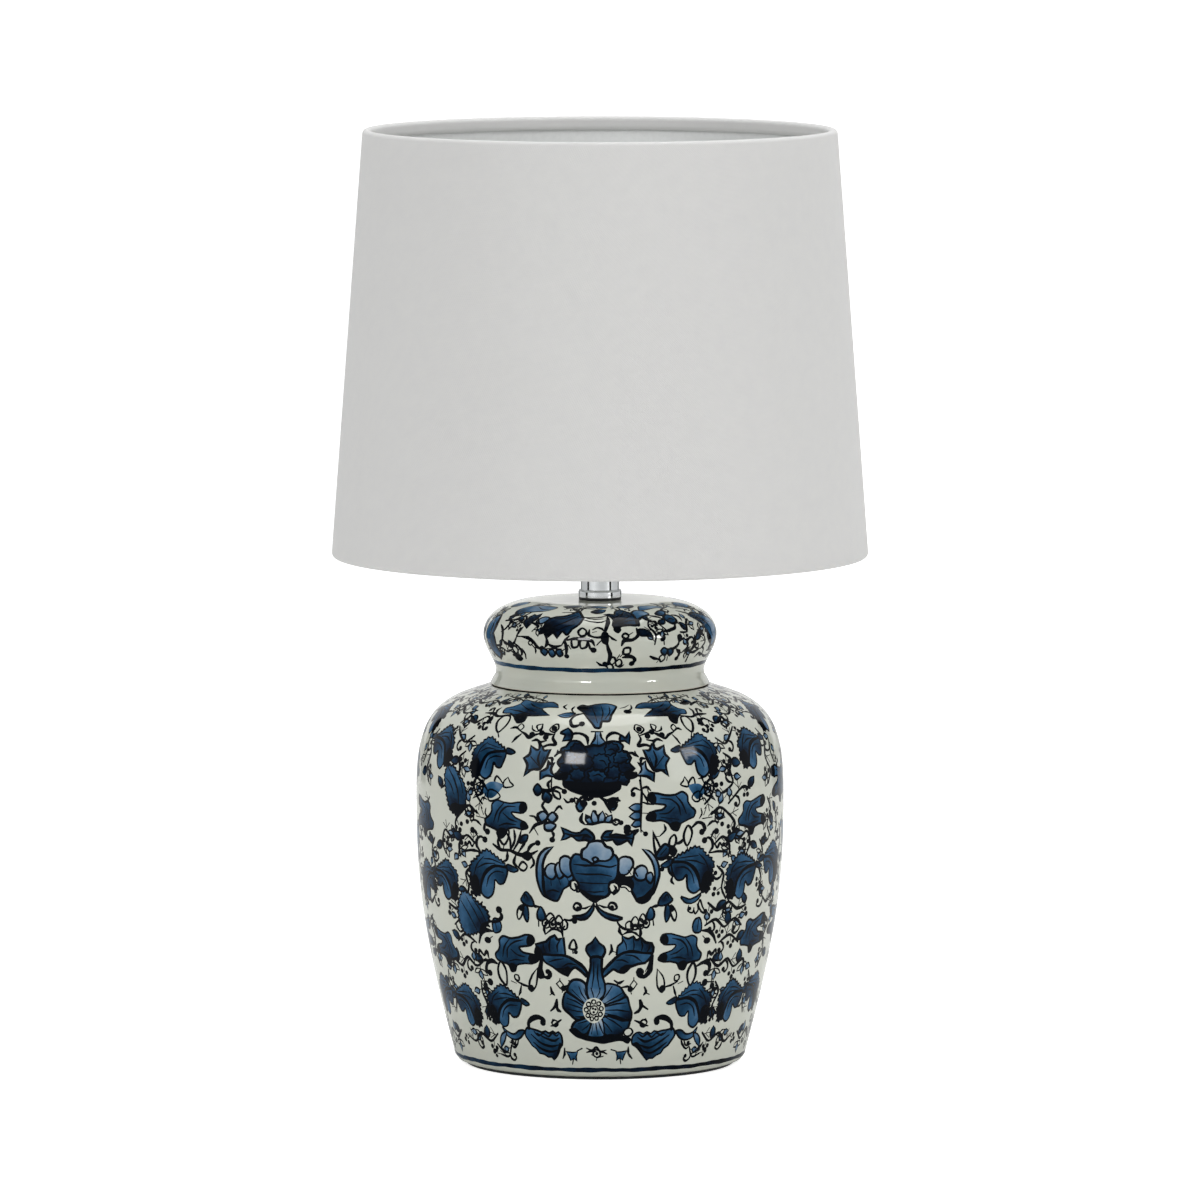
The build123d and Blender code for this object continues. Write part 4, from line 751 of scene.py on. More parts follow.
# the right half of the painted panel on the front; the left half mirrors it
panelMarks = [
    # leaf under the neck
    leaf("26,222! 29,226 33,228 42,227.5 50,228.5 56,229 55.5,224 57.5,220 61.5,218 60,214 55,213 51,210 48,206.5 "
        "45.5,208 45.5,212 40,213 34,213.5 29,213.5! 34,217 37.5,220.5 34,221.5 30,221.5", (43, 214), 18, 1),
    dab("45,213 45,208 48,206.5 51.5,210 51,213.5"),
    line("38,220 44,222 50,226/40,216 48,219 55,224/44,214 51,216 58,217/2 50,213 56,211.5 62,211 68,212.5 75,211.5"),
    ring("1.5 52.7,207 54,210.5 57,211 59.3,208 58.5,203 56,200 53.5,202.5"),
    line("1.9 56,200 54.5,197/1.8 66,211 66.3,209.5"), dot("66.5,207", 2.2, 3.2), dot("67,224", 4.6, 2.2),
    line("1.6 56,228.5 62,229.5 69,227.5 75,224/1.9 65,212.5 67,216 66,219/69,213 72,217 74,215"),
    dot("1.3 73,214.5"), line("2 51,231.5 55,234.5 61,235"),
    # fine sprigs between peony and neck
    ring("20.5,203.5 21.5,206.3 24.5,205 25.8,202.8 23,200.8"), dot("1.9 23,203.3"),
    line("1.8 22,200.5 23,197.5 21.2,194 25.5,194 29.5,192 31.5,190.5/22.5,199.5 26,200 30,201 33.5,203"),
    dot("1.9 27.5,198.5"),
    line("1.6 26.5,196.5 31,195.5 33.5,196.5 36.5,195.5/31.5,207 31.8,203.5 34.5,201.5/1.2 31.5,207 35,205.5 "
        "33.8,202.5/34.5,201.5 37.5,203 38.3,205.5"), dot("1.9 31,201/37,199.5"),
    line("1.9 31,201 35,199.5 38.5,197.5 41,199.5 45,201.2/31,190.5 30.8,194.5 33,196.5"),
    ring("1 43.8,204 46,206 47.3,203.3 45,201.8"),
    line("1.6 45,201.2 48,203.2 50.3,202/1.7 43.5,199.5 46,196.5 47.5,193.5"),
    # ivy leaf and star leaf
    leaf("24,191.7! 27.5,190.7 29.5,193.7! 31.5,190.7 36.5,192.7! 36.5,187.7 39.3,185.5! 36.7,182 37.7,175.3! "
        "33.5,179.3 30,179.5 27.3,184", (29, 180), 14, 0.85, 0.42, 1.6),
    line("1.4 29.5,180.5 31,185.5 30,190/29.5,180.5 35.5,186.5/30,180.5 36,179/1.2 29.5,181 27.5,187"),
    leaf("21.3,184.7! 23.2,183.2 25.3,185.2! 25.7,181 29.5,178.3! 29.3,173.7! 26,176.3 21,176.3! 23.3,180",
        (28, 176), 8, 0.75, 0.3, 1.5), line("1.8 23,183.7 23,186.7 25.5,186.5/1.9 22.5,176 22.7,170"),
    # sprig under the upper curled leaf
    ring("1 44.5,170.5 46.5,172.5 47.5,175! 49.5,172.5 50,169.5 47,169.5"),
    line("49.5,170 51.5,173.5 53,174.5 54,171.5 52.5,168.5"),
    fill("50,170 54,171 58,170 60,167 58,163 55,162 52,165", (56, 164), 7, 0.85, 0.4),
    ring("52.8,165.5 51.3,163 53.5,160.8 56,161 57,163.5 56.5,166.5"),
    line("57,161.5 60,162.5 61.5,160/1.7 57,166 60,170 63.5,173 66,176/1.6 58,165 59.5,161"),
    ring("60.5,172 62.5,168.5 64,165 67.3,161.3! 62,164.3 60,168"), line("60,170.5 58,174 56,173.5"),
    leaf("49,156 51,157.3 53.7,154.8 51.5,152.3 49,153", (50, 154), 4, 0.8, 0.5, 1.1),
    line("56,151 58,154 57.5,157/59,153 61,157/62,152 65,155/1.4 58,151 65,151.5"),
    # beside and under the middle curled leaf
    line("2.2 51.5,146.5 55,149 58.3,147.8 59,144.5 57.3,143"), dot("1.9 57.3,143.5"),
    ring("1.4 49,148 47,145 47,141 49,137.3 51.2,141 51.5,145"),
    line("1.6 49,137.3 49.5,134.5/1.9 59,139 62,140.2 64.5,138.5 65,135 62.3,131.5"), dot("1.9 59.2,138.7"),
    line("1.8 62.3,131.5 68,132 76,131/64,140 66,143 68,144"), dot("1.9 68,143.3"),
    line("1.5 66,137 68,134 70,136.5 72,134/61,146.5 65,149 70,148.5"), dot("1.5 72,147.5"),
    # garland under the bat
    ring("15,90.5 14.3,94.5 16,96 17.7,94 17.5,90.7/17.7,91 17,96 19,98.3 21,95.5 20.3,91.5/20.7,91.5 20.7,95 "
        "22.3,96.8 24.3,94.5 23.5,91.3/21.5,96.8 23.5,99.3 25.7,97 25,93.8/24.3,92 25,95.5 27,96.3 28,93.5 26.5,91.5"),
    dot("1.2 19,93.5/22.5,93/26,94"),
    leaf("26.5,96 26.8,100.5 28.7,103 30.8,100.3 30,96.3 28,95.5", (28, 97), 5, 0.8, 0.45),
    line("1.9 30,96.5 30.3,92.5/1.8 29,103 31,103.3 34.5,104.3"),
    leaf("33,104 33.8,108 37,111.7 39.3,109 40.3,107.5 38,104.5", (36, 107), 4, 0.95, 0.7, 1.1),
    line(".9 36,108 37.3,110.3 38.3,108"),
    leaf("37.7,104.3 36.5,98.5 38,93.8 39.6,97 39.3,103", (38, 100), 6, 0.95, 0.5, 1.1),
    ring("1.2 39.5,104 42,102 43.7,98.3 43,94.7 40.5,98"), dot("1.6 40.5,101.5"),
    # serrated leaf at the foot, with a rolled tail
    leaf("22.5,30 25,31 28,30 30,31! 33,29.5 35,30.5! 38,29.7 41,30.5! 44,31 48,31.7 49.7,28 48,24.5 46,21.5! "
        "43,19.5 41,17! 38,16.5 35.5,15! 33,15 31.5,13.5! 29,15.5 26.5,18 24,21 21,23 20.5,27", (30, 15), 17),
    line("47,31 46.5,35 43,38 38.5,38.6 35.3,36.8 36,34.5", 3, 0.7), dot("2 36.5,35.5"),
    line("1.4 24,27.5 29,25.3 35,26 42,29/25,23 32,21.5 40,23.5 46,28/27,19.5 33,18.3 40,20 45,23.5/1.2 24,30.5 "
        "27.5,28.3 30.5,29.8 33.5,27.3 37,29 41,27.5 44,30"), dab("21,23 24,21 26.5,18 28.5,17 27,21 23.5,24.5"),
    # sprigs beside the flower
    line("1.7 8,61.7 11,60.3 14.3,61.7/1.9 10.7,60 9,57.7/1.8 12.5,57.7 16,58.2 18.2,57.5"), dot("1.8 18,56.3"),
    ring("17.8,58.5! 20.2,60.9! 22.6,58.5! 20.2,56!"),
    line("1.5 20.2,60.8 20.1,62.5/18.5,55 19,53.5/1.9 27,56.7 28,53.3 26.5,51.7/1.6 28,53 30.2,52.2/2.4 24.2,49.5 "
        "25.3,46 23.3,43.2 21,42.3/1.9 25,49.5 26,46 28,44.7 30.3,43.2/1.8 21,38 25,36.7 28,35 31,34"),
    ring("25.3,37 28,38 30,36.3 28,34 25.5,35"), line("1.6 29,38.5 30.5,36"),
    # sprigs at the foot
    leaf("10.5,19! 14,19 18,19.3! 16.5,17 15.5,14! 13.3,15.3 11,13.7! 11.5,16.5", (13, 16), 5, 0.7, 0.4, 1),
    line("1.8 7.5,20.5 11,19.5/13.5,15.5 14.3,11.8/1.7 18.7,21.5 19.3,17.5 21.8,14.3/1.5 -1,19.2 2.5,19 "
        "4.8,18/-1,15.8 2,16.8"),
    leaf("50,30.3 53.5,26 58.5,24.3 64,26 66.5,30.7 63,28.5 58,28 53.5,30.5", (52, 29), 10, 0.8, 0.4, 1.1),
    line("1.5 54.5,26 56.5,21.5 60,19 62,20.5/57,24.5 59,21 63,22"), dot("1.4 60.5,22.5"),
    leaf("64,28 66.5,23 71,18.7! 71,22 68,26.5", (70, 20), 6, 0.7, 0.35, 1.1), line("2 65,15.7 70,17.5 74,21"),
    # between the lower forked and curled leaves
    leaf("55,88 54,90.5 56,94.7 58,95 60,91 59.3,87", (56, 89), 6, 0.8, 0.4, 1.1),
    line("58,94 57.3,88.5/2.4 60,87.5 66,87 70,84 72,79.7"), dot("65,81.3", 2.6, 2),
    line("1.6 61,84.5 64,82/1.8 66,71 67,75 69,73 72,76 73,72"),
    ring("1.6 57,70 54.6,66 54.6,60 57,56 59.3,60 59.6,66"), line("2.6 59.7,68 64,69.7 68,68 68.6,64.5 66.5,62.5"),
    dot("2 66.3,63.3"), line("1.6 62,70 68,70.3 76,69"), dot("2.3 67,58"), line("1.9 69,58 74,57/1.8 72,61 72,50.5"),
    dot("2 73,55"),
]

# what only the right of the panel has, and what only the left has
rightMarks = [
    # looped twig between peony and forked leaf
    line("1.8 22,174 22.7,168 22,160 21.5,152 22,145.5"),
    leaf("21.7,160.5 18.7,161.3 15.3,159.3! 18,157.3 21.3,157.7", (21, 159), 5, 0.7, 0.2, 1.1),
    leaf("21.3,156.3 18,156.7 15.3,154.3! 18,152.6 21.3,153.3", (21, 155), 5, 0.7, 0.2, 1.1),
    leaf("21.5,152 18.6,152 16.4,149.4! 19,148.4 21.7,149.3", (21, 150), 5, 0.7, 0.2, 1.1),
    line("1.4 22,168 19,169.5 17.3,168.3 18,166"), dot("1.5 18,166.3"),
    line("1.5 22,168.5 25.5,170 28,168/1.3 23,167 25,164 26.5,161/26,168.5 27,165.5"), dot("1.9 14.2,146"),
    line("1.5 14,146.5 17,144 21,146.5/22,147 24,144.8"), dot("1.5 24.3,144.6"),
    line("22,162 26,160.5 30,160/22,156 26,155.5 29,155"),
    # leafy cluster right of the bat
    ring("1.5 27.7,146! 28.7,141 29.3,137 31,132.8 33.3,134 32.3,138 30,142"), line("30,142.5 33,142.3"),
    leaf("30.5,131.5 32.5,135.5 36,137.7 38.5,135.3 37,131.7 34,130", (37, 131), 6, 1, 0.6, 1.5),
    line("33,132.5 36.5,135.5"), ring("1.4 38.5,136.3 39,141 41.3,143.3 42.3,139.5 41,136.5"),
    dab("37.5,135 40.5,136.5 43.5,133.5 41.5,130.5 38.5,131.5"),
    line("1.8 41.5,137.5 45.5,139.5 47.5,142/1.7 27,130.5 32,130.8 38,130.3 41.5,131"),
    leaf("38.7,129 41.5,128.5 42.5,124 40.5,120.3 38,123 37.5,126.5", (40, 122), 6, 0.9, 0.4, 1.4),
    line("1.6 37.5,129.5 35,127.5 33.5,124.7"), dot("1.4 33.5,124.7"),
    line("1.5 40.5,120.5 39.5,117.7 41,115.7/1.4 33,142.5 36.5,146 35.5,149"),
]
leftMarks = [
    line("2 -34.5,171.5 -31.5,168.5 -27.5,168 -24,170.5 -20.5,169.5"),
    leaf("-34.5,171.5 -36.5,168.5 -34,165.3 -31.5,167.5", (-34, 167), 4, 1, 0.7, 1.3),
    leaf("-30,167.5 -31,163.5 -28,161.3 -26.5,164.5", (-29, 163), 4, 1, 0.6, 1.3),
    ring("1.3 -26,168 -25,164.7 -22.3,163.7 -22.5,167.3"), dot("1.6 -19.7,168.5"),
    line("1.7 -27.5,168.5 -28.5,172 -26.5,174.5/1.5 -20,164.5 -17.5,162.5 -15,163.5"), dot("1.5 -15,163.7"),
    line("1.8 -39,144.5 -35,149 -31,150.5 -28.5,155 -31,160 -29,163"),
    leaf("-31.5,150.5 -33.5,154.5 -30.5,156.5 -28,154", (-31, 152), 5, 0.55, 0.12, 1.5),
    leaf("-28.5,153 -25.5,156 -23,153.5 -25.5,150.5", (-26, 151), 5, 0.5, 0.1, 1.5),
    leaf("-30,149.5 -27,150.5 -23.5,149 -26,146 -29.5,146.5", (-27, 147), 5, 0.55, 0.12, 1.5),
    line("1.7 -26,146.5 -24.5,143.5 -25.5,141"), dot("1.7 -25.3,141"),
    line("1.5 -33,149.5 -35.5,153.5 -38.5,154/1.6 -25,156 -22,159.5 -20.5,158/1.4 -36,147.5 -34,143.5"),
    # upright twigs left of the bat
    line("2.2 -61,137 -56,134.5 -50,134 -45,131.5 -39,132 -34.5,135/1.9 -56,134.5 -57.5,139 -55,142.5"),
    leaf("-55.5,141 -58,143.5 -55.5,146.5 -53,143.5", (-55, 142), 4, 0.9, 0.5, 1.3),
    line("1.7 -50,134 -50.5,139.5 -52.5,143.5/-50,134 -47.5,140 -48.5,145/1.8 -48,134 -45,139.5 -44,145.5/-45.5,132 "
        "-42.5,137 -40,142"), leaf("-44.5,138 -43,142.5 -40,143.5 -41,139.5", (-43, 140), 4, 0.9),
    line("1.8 -41,132 -38.5,137.5 -34.5,139.5"), dot("1.7 -34.5,139.3"), dab("-44,131 -40.5,134 -37.5,131.5 -40,128"),
    line("1.8 -52,134 -52.5,129 -55.5,127.5/-46.5,131.5 -47.5,127 -45,124.5"),
    ring("1.3 -45,124.5 -43,127.5 -40.5,125 -42.5,122.7"), line("1.7 -38,131 -36.5,127 -38.5,124"),
]
# where the leaves stand, each side as it is in its own place: motif, u, v, turn in degrees, size, mirrored
rightLeaves = [
    ("curledLeaf", 100, 187, 0, 1, -1), ("forkedLeaf", 97, 150, 0, 0.95, -1), ("curledLeaf", 88, 116, 0, 1.1, -1),
    ("forkedLeaf", 106, 82, 0, 1, -1), ("curledLeaf", 93, 44, 0, 1.05, -1), ("curledLeaf", 121, 120, 0, 1, 1),
    ("curledLeaf", 121, 46, 0, 1, 1), ("forkedLeaf", 134, 164, 0, 1, 1), ("curledLeaf", 131, 205, 0, 0.95, -1),
    ("forkedLeaf", 140, 85, 0, 1, 1), ("pointedLeaf", 150, 130, 0, 0.9, 1), ("fanLeaf", 150, 40, 0, 0.8, -1),
    ("curledLeaf", 58.5, 186, 0, 1, 1), ("curledLeaf", 52.5, 122, 0, 1.12, 1), ("curledLeaf", 61, 44, 4, 1.12, 1),
    ("forkedLeaf", 39.5, 157, 2, 1, 1), ("forkedLeaf", 48, 77, 0, 1, 1), ("crescentSprig", 52, 105, 0, 1, 1),
    ("openLeafTwig", 39.5, 58.5, 0, 1, 1),
]
leftLeaves = [
    ("curledLeaf", -107, 187, 0, 1, 1), ("pointedLeaf", -90, 165, 0, 1, 1), ("forkedLeaf", -126, 146, 0, 1, 1),
    ("curledLeaf", -100, 113, 0, 0.95, 1), ("fanLeaf", -78, 95, 0, 1.1, 1), ("forkedLeaf", -110, 74, 0, 0.95, 1),
    ("curledLeaf", -96, 41, 0, 1.05, 1), ("curledLeaf", -124, 110, 0, 0.95, -1), ("curledLeaf", -125, 44, 0, 1, -1),
    ("curledLeaf", -134, 203, 0, 0.95, 1), ("pointedLeaf", -148, 128, 0, 0.9, -1),
    ("forkedLeaf", -142, 78, 0, 0.95, -1), ("forkedLeaf", -150, 172, 0, 0.9, 1), ("curledLeaf", -66, 184, 0, 1, -1),
    ("curledLeaf", -65, 119, 0, 1.12, -1), ("curledLeaf", -63, 43, -4, 1.05, -1),
    ("forkedLeaf", -53, 152, -2, 0.95, -1), ("forkedLeaf", -51, 76, 0, 1, -1),
    ("openLeafTwig", -43.5, 58.5, 0, 1, -1),
]
# winding stems that fill the ground between the leaves: way, which growth comes first, size
vines = [
    ("64,205 70,209 77,204 84,208 90,203", 0, 0.9), ("72,196 78,192 84,196 89,201", 2, 0.85),
    ("75,187 80,183 78,177 80,170 74,165 69,164", 4, 0.95), ("76,158 82,163 88,167 95,165", 1, 0.9),
    ("62,176 66,170 64,163 60,159", 3, 0.8), ("64,153 70,157 76,153 81,147 79,140", 2, 0.95),
    ("66,136 72,140 78,135 77,128", 5, 0.9), ("68,124 73,119 72,111 76,105", 1, 0.85),
    ("84,137 91,141 94,134 91,128", 0, 0.9), ("104,136 108,129 104,121 107,113 104,106", 3, 0.9),
    ("112,197 117,190 114,181 118,173 114,166", 2, 1), ("112,158 117,151 113,143 117,136", 5, 0.9),
    ("64,104 71,99 78,103 86,98 94,100", 4, 0.95), ("62,90 70,94 77,89 84,93 91,88", 1, 0.9),
    ("74,80 82,84 90,79", 0, 0.9), ("68,71 76,66 83,70 90,65 98,68 101,61", 3, 0.95),
    ("75,57 79,51 76,43 79,35", 2, 0.9), ("72,27 79,22 87,26 95,20 103,24", 5, 0.95), ("62,20 66,14 72,15", 1, 0.8),
    ("107,60 111,53 107,45 111,36", 4, 0.9), ("110,25 118,20 126,24 134,19 143,23", 3, 1),
    ("110,103 117,99 124,103 131,98", 0, 0.95), ("118,91 124,86 120,78 124,70 120,62", 2, 0.95),
    ("132,142 136,135 133,126 137,117 134,108", 1, 1), ("146,186 150,178 147,170 151,160 148,150", 4, 1),
    ("136,63 143,67 149,62 155,66", 5, 1), ("136,33 141,27 149,31 156,27", 0, 0.9),
    ("70,221 80,225 90,220 100,224 110,219 120,223", 3, 0.95), ("84,213 94,210 104,214 114,209", 1, 0.9),
    ("126,219 134,222 142,217 150,220", 2, 0.95), ("145,207 150,199 147,191", 5, 0.9),
    ("92,232 102,229 112,233 122,229 132,233 142,229 152,232", 4, 0.9), ("124,136 127,142 124,149", 0, 0.85),
    ("124,190 122,183 126,176", 1, 0.9), ("38,229 46,232 56,233 66,231 76,233", 2, 0.75),
    ("146,103 151,97 148,90", 3, 0.9),
]
vine = {
    "growths": ["hook", "bud", "threeLeaves", "darkLeaf", "berries", "spray"], "skip": 5,  # every fifth in turn
    "start": 1.5, "step": 5.0, "size": 1.32,  # millimetres from the root, between two growths, and their size
    "ahead": 0.8, "lean": 55, "leanAtEnd": 60, "reach": 3, "stem": 1.9, "stemTaper": 0.7,
}


def placed(text, u, v, lean, size, flip):
    points, sharp = readPoints(text)
    c, s = math.cos(math.radians(lean)) * size, math.sin(math.radians(lean)) * size
    x, y = points[:, 0] * flip, points[:, 1]
    return np.stack([u + x * c - y * s, v + x * s + y * c], axis=1), sharp


class Canvas:
    # collects filled shapes in the order they are painted; the last one on top wins
    def __init__(self, bend):
        self.shapes = []  # (outline, material number, tone settings)
        self.bend = bend
        self.above = []  # outlines of leaves that are painted over the vines

    def paint(self, marks, place=(0, 0, 0, 1, 1)):
        for kind, texts, facts in marks:
            for text in texts.split("/"):
                start = text.split()[0]
                if "," not in start:
                    facts = (float(start), *facts[1:])
                points, sharp = placed(text, *place)
                self.paintShape(kind, self.bend(points), sharp, facts, place)

    def paintShape(self, kind, points, sharp, facts, place):
        if kind in ("fill", "leaf", "toothLeaf", "dab", "bare"):
            edge = smooth(points, sharp, closed=True)
            if kind == "toothLeaf":
                edge = toothed(edge, facts[5] * place[3])
            tone = None
            if kind in ("fill", "leaf", "toothLeaf"):
                darkAt, _ = placed("%g,%g" % facts[0], *place)
                tone = (self.bend(darkAt)[0], facts[1] * place[3], facts[2], facts[3])
            self.shapes.append((edge, {"dab": inkSlot, "bare": glazeSlot}.get(kind, washSlot), tone))
            if kind in ("leaf", "toothLeaf"):
                self.rings(edge, facts[4])
        elif kind == "line":
            for edge in stroke(smooth(points, sharp), facts[0], taper=facts[1]):
                self.shapes.append((edge, inkSlot, None))
        elif kind == "ring":
            self.rings(smooth(points, sharp, closed=True), facts[0])
        else:
            a = np.arange(8) * turn / 8 + 0.3  # eight corners, none of them level with the middle
            x, y = facts[0] * place[3] * np.cos(a), (facts[1] or facts[0]) * place[3] * np.sin(a)
            self.shapes.append((points[0] + np.stack([x, y], axis=1), inkSlot, None))

    def paintVine(self, way, first, size):
        # the stem, with growths to the left and right by turns
        points, sharp = readPoints(way)
        path = smooth(points, sharp)
        along = np.concatenate([[0], np.cumsum(np.linalg.norm(np.diff(path, axis=0), axis=1))])
        for k, s in enumerate(np.arange(vine["start"], along[-1] + 0.5, vine["step"] * size)):
            ahead = s + vine["ahead"]
            here, on = ([np.interp(q, along, path[:, c]) for c in (0, 1)] for q in (s, ahead))
            lean = vine["leanAtEnd"]
            if ahead < along[-1]:
                lean = math.degrees(math.atan2(on[1] - here[1], on[0] - here[0]))
            flip = 1 if (k + first) % 2 else -1
            lean += -90 + vine["lean"] * flip
            out = math.radians(lean + 90)
            tip = [here[0] + vine["reach"] * math.cos(out), here[1] + vine["reach"] * math.sin(out)]
            if any(windingInside(edge, self.bend(np.array([tip])))[0] for edge in self.above):
                continue
            growth = vine["growths"][(first + vine["skip"] * k) % len(vine["growths"])]
            self.paint(motifs[growth], (here[0], here[1], lean, size * vine["size"], -flip))
        self.paint([line(way, vine["stem"] * size, vine["stemTaper"])])

    def rings(self, path, width):
        outer, inner = stroke(path, width, closed=True)
        # one shape with a slit, so that the middle stays as it is
        self.shapes.append((np.concatenate([outer, outer[:1], inner[:1], inner[::-1]]), inkSlot, None))


def windingInside(edge, points):
    # whether each point lies inside the outline, counting turns round it
    a, b = edge, np.roll(edge, -1, axis=0)
    px, py = points[:, 0][:, None], points[:, 1][:, None]
    side = (b[:, 0] - a[:, 0]) * (py - a[:, 1]) - (px - a[:, 0]) * (b[:, 1] - a[:, 1])
    up = (a[:, 1] <= py) & (b[:, 1] > py) & (side > 0)
    down = (a[:, 1] > py) & (b[:, 1] <= py) & (side < 0)
    return (up.sum(axis=1) - down.sum(axis=1)) != 0


meshing = {"clear": 0.3, "cell": 12.0, "fade": 0.8}  # share of the grid kept clear of edges; search cells in mm


def triangulate(shapes, low, high, gap, holes=(), cut=None):
    # a triangle mesh of the rectangle, cut along every painted edge: points, triangles, colour and tone
    verts, edges = [], []

    def addLoop(loop):
        start = len(verts)
        verts.extend(loop)
        edges.extend((start + k, start + (k + 1) % len(loop)) for k in range(len(loop)))

    for edge, _, _ in shapes:
        addLoop(edge)
    for hole in holes:
        addLoop(hole)
    tree = kdtree.KDTree(len(verts))
    for i, p in enumerate(verts):
        tree.insert((p[0], p[1], 0), i)
    tree.balance()
    nu, nv = int(round((high[0] - low[0]) / gap[0])), int(round((high[1] - low[1]) / gap[1]))
    us, vs = np.linspace(low[0], high[0], nu + 1), np.linspace(low[1], high[1], nv + 1)
    border = [(u, low[1]) for u in us] + [(high[0], v) for v in vs[1:]]
    border += [(u, high[1]) for u in us[::-1][1:]] + [(low[0], v) for v in vs[::-1][1:-1]]
    addLoop([np.array(q) for q in border])
    if cut is not None:
        edges.extend((len(verts) + k, len(verts) + k + 1) for k in range(nv))
        verts.extend(np.array((cut, v)) for v in vs)
    for j, v in enumerate(vs[1:-1]):
        for u in us[1:-1]:
            distance = tree.find((u, v, 0))[2]
            if distance is None or distance > gap[1] * meshing["clear"]:
                verts.append(np.array((u, v)))
    out = delaunay_2d_cdt([Vector((float(p[0]), float(p[1]))) for p in verts], edges, [], 0, 1e-4, False)
    points = np.array([tuple(p) for p in out[0]])
    tris = np.array([f for f in out[2] if len(f) == 3])
    centre = points[tris].mean(axis=1)
    keep = ((centre > np.array(low)) & (centre < np.array(high))).all(axis=1)
    a, b, c = (points[tris[:, k]] for k in range(3))
    area = np.abs((b[:, 0] - a[:, 0]) * (c[:, 1] - a[:, 1]) - (c[:, 0] - a[:, 0]) * (b[:, 1] - a[:, 1])) / 2
    for hole in holes:
        keep &= ~windingInside(np.array(hole), centre)
    tris, centre, area = tris[keep], centre[keep], area[keep]
    cell = meshing["cell"]
    cells = {}
    for i, (cu, cv) in enumerate(np.floor(centre / cell).astype(int)):
        cells.setdefault((cu, cv), []).append(i)
    cells = {k: np.array(x) for k, x in cells.items()}
    colour = np.zeros(len(tris), int)
    tone = np.zeros((len(tris), 3))
    for edge, mat, facts in shapes:
        lo, hi = edge.min(axis=0), edge.max(axis=0)
        near = [cells[(i, j)] for i in range(int(lo[0] // cell), int(hi[0] // cell) + 1)
                for j in range(int(lo[1] // cell), int(hi[1] // cell) + 1) if (i, j) in cells]
        if not near:
            continue
        near = np.concatenate(near)
        near = near[((centre[near] >= lo) & (centre[near] <= hi)).all(axis=1)]
        near = near[windingInside(edge, centre[near])] if len(near) else near
        colour[near] = mat
        if facts is not None and len(near):
            darkAt, reach, deep, pale = facts
            away = np.linalg.norm(points[tris[near]] - darkAt, axis=2) / reach
            tone[near] = deep + (pale - deep) * np.clip(away, 0, 1) ** meshing["fade"]
    return points, tris, colour, tone


# ---- porcelain shells: the painted outside and plain rings of revolution for the rest

class Shell:
    def __init__(self):
        self.points, self.normals, self.uvs, self.faces, self.mats, self.tones = [], [], [], [], [], []
        self.count = 0

    def add(self, points, normals, uvs, faces, mats, tones=None):
        self.points.append(points)
        self.normals.append(normals)
        self.uvs.append(uvs)
        self.faces += [tuple(int(i) + self.count for i in f) for f in faces]
        self.mats += list(mats)
        self.tones += [tuple(t) for t in tones] if tones is not None else [(0.0,) * len(f) for f in faces]
        self.count += len(points)

    def revolve(self, run, mat, stack, segments):
        # one smooth run of the profile turned round the axis
        shape = Profile(run)
        angles = -turn / 4 + np.arange(segments + 1) * turn / segments
        n = len(run)
        r, z, nr, nz = shape.p[:, 0], shape.p[:, 1], shape.n[:, 0], shape.n[:, 1]
        a = np.tile(angles, n)
        rr, zz, nnr, nnz = (np.repeat(q, segments + 1) for q in (r, z, nr, nz))
        points = np.stack([rr * np.sin(a), -rr * np.cos(a), zz], axis=1)
        normals = np.stack([nnr * np.sin(a), -nnr * np.cos(a), nnz], axis=1)
        share = np.repeat(np.linspace(0, 1, n), segments + 1)
        uvs = np.stack([(a + turn / 4) / turn, stack[0] + (stack[1] - stack[0]) * share], axis=1)
        starts = [i * (segments + 1) + k for i in range(n - 1) for k in range(segments)]
        faces = [(j, j + 1, j + segments + 2, j + segments + 1) for j in starts]
        self.add(points, normals, uvs, faces, [mat] * len(faces))

    def build(self, name, mats, body):
        points = np.concatenate(self.points)
        normals, uvs = np.concatenate(self.normals), np.concatenate(self.uvs)
        tree = kdtree.KDTree(len(points))
        for i, p in enumerate(points):
            tree.insert(p, i)
        tree.balance()
        same = np.full(len(points), -1)
        for i, p in enumerate(points):
            if same[i] < 0:
                for _, j, _ in tree.find_range(p, 0.006):
                    if same[j] < 0:
                        same[j] = i
        used, index = np.unique(same, return_inverse=True)
        faces, mat, tone, corner = [], [], [], []
        for face, m, t in zip(self.faces, self.mats, self.tones):
            joined = [int(index[i]) for i in face]
            keep = [k for k in range(len(joined)) if joined[k] != joined[k - 1]]
            if len(keep) < 3:
                continue
            faces.append([joined[k] for k in keep])
            mat.append(m)
            tone += [t[k] for k in keep]
            corner += [face[k] for k in keep]
        obj = addObject(name, points[used] * mm, faces, mats, mat, body)
        mesh = obj.data
        mesh.attributes.new("tone", "FLOAT", "CORNER").data.foreach_set("value", tone)
        mesh.uv_layers.new(name="OFBake").data.foreach_set("uv", uvs[corner].ravel())
        mesh.normals_split_custom_set(normals[corner].tolist())
        return obj


def unrolled(shape, points, radius):
    # points of the plane put on the surface, with its normals
    a = points[:, 0] / radius
    r, z, nr, nz = shape.at(points[:, 1])
    size = np.maximum(np.hypot(nr, nz), 1e-9)
    return (np.stack([r * np.sin(a), -r * np.cos(a), z], axis=1),
            np.stack([nr / size * np.sin(a), -nr / size * np.cos(a), nz / size], axis=1))


def onEdge(p, loop):
    b = np.roll(loop, -1, axis=0)
    way = b - loop
    s = np.clip(((p - loop) * way).sum(axis=1) / (way**2).sum(axis=1), 0, 1)
    return np.linalg.norm(loop + way * s[:, None] - p, axis=1).min() < 0.01


wrap = turn * jar["unrolledRadius"]
half = wrap / 2
panelAxis = -2.0


